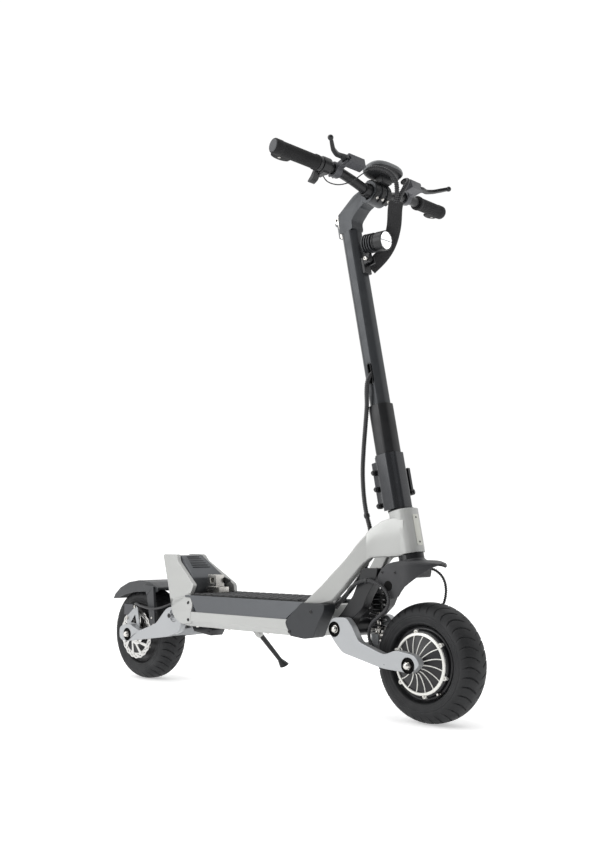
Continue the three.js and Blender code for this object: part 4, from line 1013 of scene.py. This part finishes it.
def make_front_guard():
    """A thin shell: a crowned top with a long curved wall on the right and a short one on the left."""
    points = []
    for x, low, top, half in GUARD:
        thick = min(3.2, max(0.6, top - low) * 0.45)
        ring = guard_section(low, top, half, 0.0) + guard_section(low, top, half, thick)[::-1]
        points += [at(x, y, z) for y, z in ring]
    n = len(ring)
    faces = bands(len(GUARD), n, caps=False)
    for base in (0, (len(GUARD) - 1) * n):
        faces += [(base + k, base + k + 1, base + n - 2 - k, base + n - 1 - k) for k in range(n // 2 - 1)]
    form("front_guard_shell", (points, faces), "fork", "mat_block", "front_mudguard", crease=50)
    # A near-black disc on the guard's right side: painted shade at the arch.
    arch = lathe([(0, 57.6), (10.4, 57.6), (11, 58.2), (10.4, 58.8), (0, 58.8)], at(921, 0, 289), -LEFT, 36)
    form("front_guard_arch", arch, "fork", "painted_shade_black")
    cup = [(0, -99), (23, -99), (25.4, -101), (26.2, -108), (31, -115), (42, -121), (52, -124), (54, -127)]
    cup = lathe(rounded(cup + [(52, -131), (0, -131)], 3, 3), on_head(0, 0, 0), UP, 56)
    form("fork_crown_cup", cup, "fork", "black_metal", crease=40)


CHEEK = [(838, 331, 391, 47.2, 9), (850, 341.6, 406, 44.6, 9), (857, 346.5, 413.4, 42.5, 9),
         (870, 349, 421, 39.0, 9), (884, 350, 429, 36.2, 9), (900, 350, 434, 33.4, 8),
         (914, 351, 436, 31.6, 7), (927, 352, 435, 30.4, 6), (939, 354, 432, 28.4, 5)]


def make_cheeks():
    """The smooth cheeks that carry each beam round the side of the head."""
    edge, cut = 5.0, 1.4
    for name, side in SIDES.items():
        points = []
        for x, low, top, out, deep in CHEEK:
            ring = [(out - deep, low + 2), (out - edge, low), (out - cut, low + cut), (out, low + edge)]
            ring += [(out, top - edge), (out - cut, top - cut), (out - edge, top), (out - deep, top - 2)]
            points += [at(x, side * y, z) for y, z in ring]
        form(f"head_cheek_{name}", (points, bands(len(CHEEK), len(ring))), "frame", "silver_paint", crease=45)


# ------------------------------------------------------------------ stem
def make_stem():
    soften("stem_tube", "stem_paint", 1.0)
    soften("fold_block", "block_paint", 1.0, 3)
    soften("safety_sleeve", "black_metal", 0.8)
    soften("fold_lever", "black_plastic", 1.8, 3)
    soften("stem_head", "stem_paint", 1.2, 3, reshape=lambda bm: cut_neck(bm, 0.700, 0.007))
    soften("stem_hook", "steel", 1.2, 3)
    soften("headlight_bracket", "black_metal", 0.8)
    grommet = []
    for a in fan(24):
        half = 18.5 if math.sin(a) > 0 else -18.5
        grommet.append(on_stem(3 + 4.6 * math.cos(a), -22.4, 306 + half + 6.0 * math.sin(a)))
    form("cable_grommet", tube(grommet + grommet[:2], 0.0016, 8), "stem", "black_plastic", crease=50)
    make_stem_clamp()
    strap = round_box((5.5, 15, 34), 1.6, at(735, 0, 1113), (FORE, LEFT, UP), 3)
    ring = [(3.4, -5), (8.4, -5), (9.2, -4.2), (9.2, 4.2), (8.4, 5), (3.4, 5)]
    ear = lathe(ring, at(729, 0, 1136), LEFT, 36, closed=True)
    form("stem_hook_ear", merged(strap, ear), "stem", "rim_grey", crease=35)
    for name, side in SIDES.items():
        head = [on_stem(-13, side * 24, 1)]
        bolts(f"fold_pin_head_{name}", head, LEFT * side, "stem", 4.4, 2.6, "steel", 18, 0.42)
    make_bar_clamp()
    make_headlight()


def make_stem_clamp():
    """The three cross bolts behind the fold block, with their nuts."""
    socket = [(0, -1), (6.2, -1), (6.4, 0), (6.4, 9.4), (5.6, 10.4), (3.0, 10.4), (3.0, 6), (0, 6)]
    core = [(0, 8), (4.2, 8), (4.2, 13), (3.6, 13.8), (0, 13.8)]
    nut = [(0, -1), (6.0, -1), (6.0, 4.4), (5.2, 5.2), (0, 5.2)]
    rod = [(0, -3), (3.2, -3), (3.2, 3), (0, 3)]
    heads, nuts = [], []
    for s in (8, 46, 84):
        head = on_stem(-34, -13, s)
        heads += [lathe(socket, head, -LEFT, 24), lathe(core, head, -LEFT, 20)]
        nuts += [lathe(nut, on_stem(-34, 13, s), LEFT, 6), lathe(rod, on_stem(-34, 0, s), LEFT, 16)]
    form("clamp_bolts", merged(*heads), "stem", "black_steel", crease=40)
    form("clamp_nuts", merged(*nuts), "stem", "black_steel", crease=40)


def make_bar_clamp():
    """Three bands round the bar's collar, and their screws."""
    profile = [(0, -1), (3.6, -1), (3.6, 2.4), (2.9, 3.2), (1.6, 3.2), (1.6, 1.4), (0, 1.4)]
    screws = []
    for y in (-19, 0, 19):
        for turn in (70, -54):
            out = around(FORE, UP, math.radians(turn))
            screws.append(lathe(profile, BAR + out * 0.025 + LEFT * (y / 1000), out, 14))
    form("bar_clamp_screws", merged(*screws), "stem", "steel", crease=40)
    parts, steps = [], 26
    for y0, y1 in ((-26.6, -12.5), (-6.5, 6.5), (12.5, 26.6)):
        points = []
        for i in range(steps + 1):
            out = around(FORE, UP, math.radians(-84 + 176 * i / steps))
            for r, y in ((23.6, y0), (25.6, y0 + 0.8), (25.6, y1 - 0.8), (23.6, y1)):
                points.append(BAR + (out * r + LEFT * y) / 1000)
        parts.append((points, bands(steps + 1, 4)))
    form("bar_clamp_cap", merged(*parts), "stem", "black_metal", crease=35)


def make_headlight():
    """A finned barrel with a bezel, a mirror dish that glows white as a painted reflection, and a clear front
    glass.
    """
    node, body = "headlight", BODY["headlight"]
    back, front = on_stem(33, 0, 613), on_stem(95, 0, 596)
    axis, length = (front - back).normalized(), (front - back).length * 1000
    shell = [(0, 0.6), (12, 0.6), (15.0, 1.6), (16.2, 3.6)]
    fins = []
    for t in (4.6, 11.6, 18.6, 25.6):
        shell += [(16.2, t), (20.6, t + 0.3), (20.6, t + 3.5), (16.2, t + 3.8)]
        ring = [(20.2, t + 0.1), (22.3, t + 0.5), (22.3, t + 3.3), (20.2, t + 3.7)]
        fins.append(lathe(ring, back, axis, 64, closed=True))
    form("headlight_fins", merged(*fins), body, "dark_casting", crease=34)
    shell += [(18.8, 32.6), (19.6, 34), (19.6, 38), (21.8, 40.2), (22.4, 41.4), (22.4, length - 1.4)]
    shell += [(r, length - t) for r, t in ((21.6, 0.2), (20.4, 0.2), (19.8, 1.6), (19.6, 8.4))]
    shell += [(8, 42), (0, 42)]
    shape = lathe(rounded(shell, 0.35), back, axis, 64)
    foot = round_box((13.6, 9.6, 27), 1.0, on_stem(37, 0, 582.5), (FORE, LEFT, UP), 2)
    clamp = lathe([(18, 31.6), (19.6, 31.6), (19.6, 38.4), (18, 38.4)], back, axis, 64, closed=True)
    form("headlight_shell", merged(shape, foot, clamp), body, "black_metal", node, crease=34)
    dish = [(19.4, length - 3.6)]
    dish += [(19.2 * math.cos(t), length - 4.0 - 14.5 * math.sin(t)) for t in np.linspace(0.1, 1.40, 12)]
    dish += [(0.0, length - 19)]
    # The dish is drawn white and glowing, a painted reflection of its mirror.
    form("headlight_reflector", lathe(dish, back, axis, 64), body, "painted_glow_reflector", crease=60)
    bead = [(r, length - t) for r, t in ((0, 18.6), (3.0, 18.4), (3.0, 15), (2.2, 13.4), (0, 12.8))]
    form("headlight_lamp", lathe(bead, back, axis, 24), body, "rib_white", crease=50)
    middle = back + axis * ((length - 3.4) / 1000)
    cutoff = round_box((1.6, 37.6, 1.4), 0.4, middle, (axis, LEFT, axis.cross(LEFT)), 2)
    form("headlight_cutoff", cutoff, body, "end_cap", crease=40)
    pane = [(r, length - t) for r, t in ((0, 2.4), (19.3, 2.4), (19.3, 1.2), (17, 0.6), (9, 0.1), (0, 0))]
    form("headlight_glass", lathe(pane, back, axis, 64), body, "lens_glass", crease=40)
    bolts("headlight_bolts", [on_stem(38, -14, 573)], -LEFT, "stem", 5.0, 3.6, "steel")


# ------------------------------------------------------------------ handlebar
def make_bar():
    node = "handlebar"
    right = [on_bar(-1, 0, along, 0) for along in (BAR_LENGTH - 5, 60, 12)]
    left = [on_bar(1, 0, along, 0) for along in (12, 60, BAR_LENGTH - 5)]
    rise = [at(x, y, z) for x, y, z in ((838, -66, 1189), (843, -34, 1178), (843, 0, 1178), (843, 34, 1178),
                                        (838, 66, 1189))]
    line = resampled(smooth_line(right + rise + left, 0.003), 0.004)
    collar = lathe([(11, -44), (13.6, -43), (15.3, -40), (15.3, 40), (13.6, 43), (11, 44)], BAR, LEFT, 40)
    form("bar_tube", merged(tube(line, 0.011, 28), collar), BODY[node], "black_metal", node, crease=35)
    for name, side in SIDES.items():
        make_grip(name, side)
        soften(f"brake_perch_{name}", "perch_paint", 1.6, 3)
        soften(f"brake_lever_{name}", "black_metal", 1.7, 3)
        axes = perch_axes(side)
        lid = round_box((19, 38, 2.6), 0.9, on_perch(side, 39, -24, 11.4), axes, 2)
        form(f"reservoir_lid_{name}", lid, "stem", "black_metal", crease=40)
        screws = [on_perch(side, 39, -10, 12.8), on_perch(side, 39, -38, 12.8)]
        bolts(f"reservoir_screws_{name}", screws, axes[2], "stem", 2.2, 1.2, "steel")
        clamp = [on_perch(side, -15.2, -5, -6), on_perch(side, -15.2, 5, -6)]
        bolts(f"perch_clamp_bolts_{name}", clamp, -axes[0], "stem", 2.8, 3)
        bolts(f"lever_pin_{name}", [on_perch(side, 42, 4, 7.6)], axes[2], "stem", 3.6, 2.0, "steel")
    soften("throttle_housing", "black_plastic", 1.8, 3)
    soften("throttle_paddle", "black_plastic", 1.6, 3)
    make_display()


def perch_axes(side):
    zero = on_perch(side, 0, 0, 0)
    return tuple((on_perch(side, *step) - zero).normalized() for step in ((1, 0, 0), (0, side, 0), (0, 0, 1)))


def make_grip(name, side):
    """A rubber sleeve with fine rings, a collar, a grey end disc and a palm rest below its end."""
    node = f"grip_{name}"
    knee, ahead, along, up = bar_axes(side)
    way = along * side
    start, end = 68.2, BAR_LENGTH
    profile = [(11.5, start), (16.2, start), (17.0, start + 1), (17.0, start + 7), (16.0, start + 8.4)]
    t = start + 10
    while t < end - 24:
        profile += [(15.5, t), (15.5, t + 1.5), (15.15, t + 1.9), (15.15, t + 2.5)]
        t += 2.9
    collar = ((15.6, 20), (16.3, 18.6), (16.3, 2.4), (15.4, 0.6), (14.2, 0.2), (11.5, 0.2))
    profile += [(r, end - t) for r, t in collar]
    form(f"{node}_sleeve", lathe(profile, knee, way, 48), BODY[node], "grip_rubber", node, crease=50)
    cap = [(0, end - 2), (13.6, end - 2), (13.6, end + 0.2), (12.8, end + 1.0), (0, end + 1.2)]
    form(f"{node}_cap", lathe(cap, knee, way, 48), BODY[node], "end_cap", crease=35)
    rest, rows, sides = [], 13, 20
    for i in range(rows):
        share = i / (rows - 1)
        swell = math.sin(math.pi * min(1.0, share * 0.93 + 0.07)) ** 0.5
        wide, deep = 14.0 * (0.45 + 0.55 * swell), 4.2 * (0.5 + 0.5 * swell)
        centre = on_bar(side, -9.5 - 2.0 * swell, end - 52 + 46 * share, -10.8)
        for a in fan(sides):
            x, z = squared(math.cos(a), 0.7) * wide, squared(math.sin(a), 0.8) * deep
            rest.append(centre + (ahead * x + up * z) / 1000)
    form(f"{node}_palm_rest", (rest, bands(rows, sides)), BODY[node], "grip_rubber", crease=60)
    bolts(f"{node}_rest_bolt", [on_bar(side, -12, end - 26, -14.4)], -up, BODY[node], 3.0, 1.0, "steel")


def make_display():
    """An oval pod with a grey rim and a dark screen, turned to the rider."""
    body, turn, sides, power = "stem", math.radians(14), 56, 2.7
    u, w = around(AHEAD, RISE, turn), around(RISE, -AHEAD, turn)
    origin = at(864, 3, 1215)

    def stack(levels):
        points = []
        for scale, z in levels:
            for a in fan(sides):
                x = squared(math.cos(a), 2 / power) * 31 * scale
                y = squared(math.sin(a), 2 / power) * 54 * scale
                points.append(origin + (u * x + LEFT * y + w * z) / 1000)
        return points, bands(len(levels), sides)

    shell = stack([(0.40, -3.6), (0.52, -3.2), (0.72, -1.0), (0.88, 1.8), (0.96, 4.4), (0.975, 5.6)])
    stalk = round_box((19, 34, 20), 2.2, origin + (u * -3 + w * -10) / 1000, (u, LEFT, w), 3)
    form("display_case", merged(shell, stalk), body, "black_plastic", "display_pod", crease=40)
    rim = stack([(0.955, 5.2), (0.995, 6.2), (1.012, 9.0), (1.0, 12.8), (0.96, 15.4), (0.90, 16.6),
                 (0.87, 16.2), (0.86, 15.2)])
    form("display_rim", rim, body, "rim_grey", crease=40)
    screen = stack([(0.855, 15.0), (0.855, 15.9), (0.83, 16.3), (0.5, 16.8)])
    form("display_screen", screen, body, "screen_glass", crease=40)
    button = [(0, 0), (3.4, 0), (3.4, 1.6), (2.8, 2.1), (0, 2.2)]
    places = [origin + (u * -19 + LEFT * y + w * 14.6) / 1000 for y in (-14, 0, 14)]
    shape = merged(*(lathe(button, place, w, 24) for place in places))
    form("display_buttons", shape, body, "end_cap", crease=35)


def wrapped(name, route, radius, node=None, material="wrap_plastic", body=None, turns=True, sides=12):
    """A cable in a spiral wrap, or a plain one, down a smooth route. Gives the piece and its line."""
    line = resampled(smooth_line(route, 0.002), 0.00086 if turns else 0.003)
    section = spiral(radius / 1000) if turns else radius / 1000
    obj = form(name, tube(line, section, sides), body, material, node, crease=60)
    path = line[:: 6 if turns else 2]
    if path[-1] is not line[-1]:
        path.append(line[-1])
    return obj, line


def clip(name, line, radius, body):
    """A small clip round the start of a cable, where two stretches of it meet."""
    ring = [(radius + r, t) for r, t in ((-0.4, -4), (0.9, -4), (1.3, -3.4), (1.3, 3.4), (0.9, 4), (-0.4, 4))]
    form(name, lathe(ring, line[0], heading(line, 0, 8), 28, closed=True), body, "black_plastic", crease=40)


STEM_CABLE = [(844, -13, 765), (843, -23, 757), (842, -31, 741), (842, -34, 720), (840, -31, 690),
              (830, -25, 640), (817, -16, 590), (808, -9, 538), (809, -6, 484), (817, -6, 443),
              (826, -6, 414), (830, -6, 385), (827, -8, 355), (817, -11, 327), (801, -16, 300),
              (781, -22, 274), (762, -28, 253), (745, -33, 233)]
MOTOR_CABLE = [(742, -46, 224), (756, -46, 240), (774, -44, 250), (794, -50, 263), (816, -62, 280),
               (840, -66, 293), (868, -67, 299), (898, -67, 294), (920, -66, 280), (928, -65, 260),
               (920, -63, 240), (898, -59, 224), (872, -54, 206), (862, -52, 186), (866, -52, 164),
               (884, -53, 147), (920, -54, 136), (962, -56, 131)]
FRONT_HOSE = [(968, 30, 326), (978, 38, 320), (987, 45, 309), (992, 49, 295), (991, 54, 276),
              (985, 55, 252), (972, 54, 230), (962, 54, 217)]
REAR_HOSE = [(2, -55, 208), (22, -66, 212), (60, -72, 206), (100, -74, 202), (140, -72, 206),
             (175, -65, 217), (205, -56, 229), (238, -47, 235)]
BAR_HOSE = {
    "right": [(873, -59.4, 1213), (886, -49, 1214), (903, -31, 1207), (911, -14, 1190), (907, -3, 1165),
              (898, 2, 1145)],
    "left": [(873, 59.4, 1213), (886, 52, 1212), (905, 38, 1203), (912, 22, 1186), (907, 11, 1164),
             (899, 8, 1145)],
}
STRAP = [(899, 5, 1149), (892, 9, 1137), (873, 27, 1101), (851, 38, 1070), (834, 36, 1048),
         (817, 30, 1031), (803, 25, 1019)]


def split(route, index):
    """One smooth line through the whole route, cut in two at one of its points."""
    line = resampled(smooth_line([at(*p) for p in route], 0.002), 0.004)
    goal = at(*route[index])
    cut = min(range(len(line)), key=lambda i: (line[i] - goal).length)
    return line[: cut + 1], line[cut:], line[cut]


def make_cords():
    upper, lower, joint = split(STEM_CABLE, 9)
    obj, line = wrapped("stem_cable_upper", upper, 5.5, "stem_cable")
    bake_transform(obj)
    obj, line = wrapped("stem_cable_lower", lower, 5.5, "stem_cable")
    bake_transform(obj)
    clip("stem_cable_clip", line, 5.5, "fork")

    upper, lower, joint = split(MOTOR_CABLE, 6)
    obj, line = wrapped("front_motor_cable_upper", upper, 4.2, "front_motor_cable")
    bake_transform(obj)
    obj, line = wrapped("front_motor_cable_lower", lower, 4.2, "front_motor_cable")
    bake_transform(obj)
    clip("front_motor_cable_clip", line, 4.2, "fork")

    obj, _ = wrapped("front_brake_hose_line", [at(*p) for p in FRONT_HOSE], 3.2, "front_brake_hose")
    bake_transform(obj)
    obj, _ = wrapped("rear_brake_hose_line", [at(*p) for p in REAR_HOSE], 3.2, "rear_brake_hose", turns=False)
    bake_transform(obj)

    for name in SIDES:
        wrapped(f"bar_hose_{name}", [at(*p) for p in BAR_HOSE[name]], 5.5, "bar_hoses", body="stem")
    wire = [on_bar(-1, -14, 40, -14), on_bar(-1, -16, 22, -24), on_bar(-1, -4, 0, -28)]
    wire += [at(852, -92, 1181), at(867, -80, 1194), at(875, -66, 1206)]
    wrapped("throttle_wire", wire, 1.3, None, "black_plastic", "stem", turns=False, sides=8)
    make_strap()


def make_strap():
    """The flat woven sleeve that gathers the bar's cables down to the front of the stem."""
    line = resampled(smooth_line([at(*p) for p in STRAP], 0.002), 0.004)
    points, sides, flat = [], 36, Vector((0.7, 0.7, 0))
    for i, here in enumerate(line):
        way = heading(line, i)
        across = (flat - way * flat.dot(way)).normalized()
        out = way.cross(across)
        crease = 0.5 * math.sin(i * 0.9) + 0.35 * math.sin(i * 2.3 + 1)
        for a in fan(sides):
            c, s = math.cos(a), math.sin(a)
            x = squared(c, 0.55) * 16.8
            y = squared(s, 0.8) * (3.4 + 0.35 * math.cos(4.2 * c + 0.4 * i) + 0.2 * crease)
            points.append(here + (across * x + out * y) / 1000)
    form("cable_sleeve", (points, bands(len(line), sides)), "stem", "strap_fabric", "cable_wrap", crease=50)


# ------------------------------------------------------------------ the scene
make_camera()
make_stage()
make_cords()
make_wheels()
shock("front", (836, 290), (848, 172))
shock("rear", (172, 280), (152, 164))
make_chassis()
make_deck()
make_stem()
make_bar()
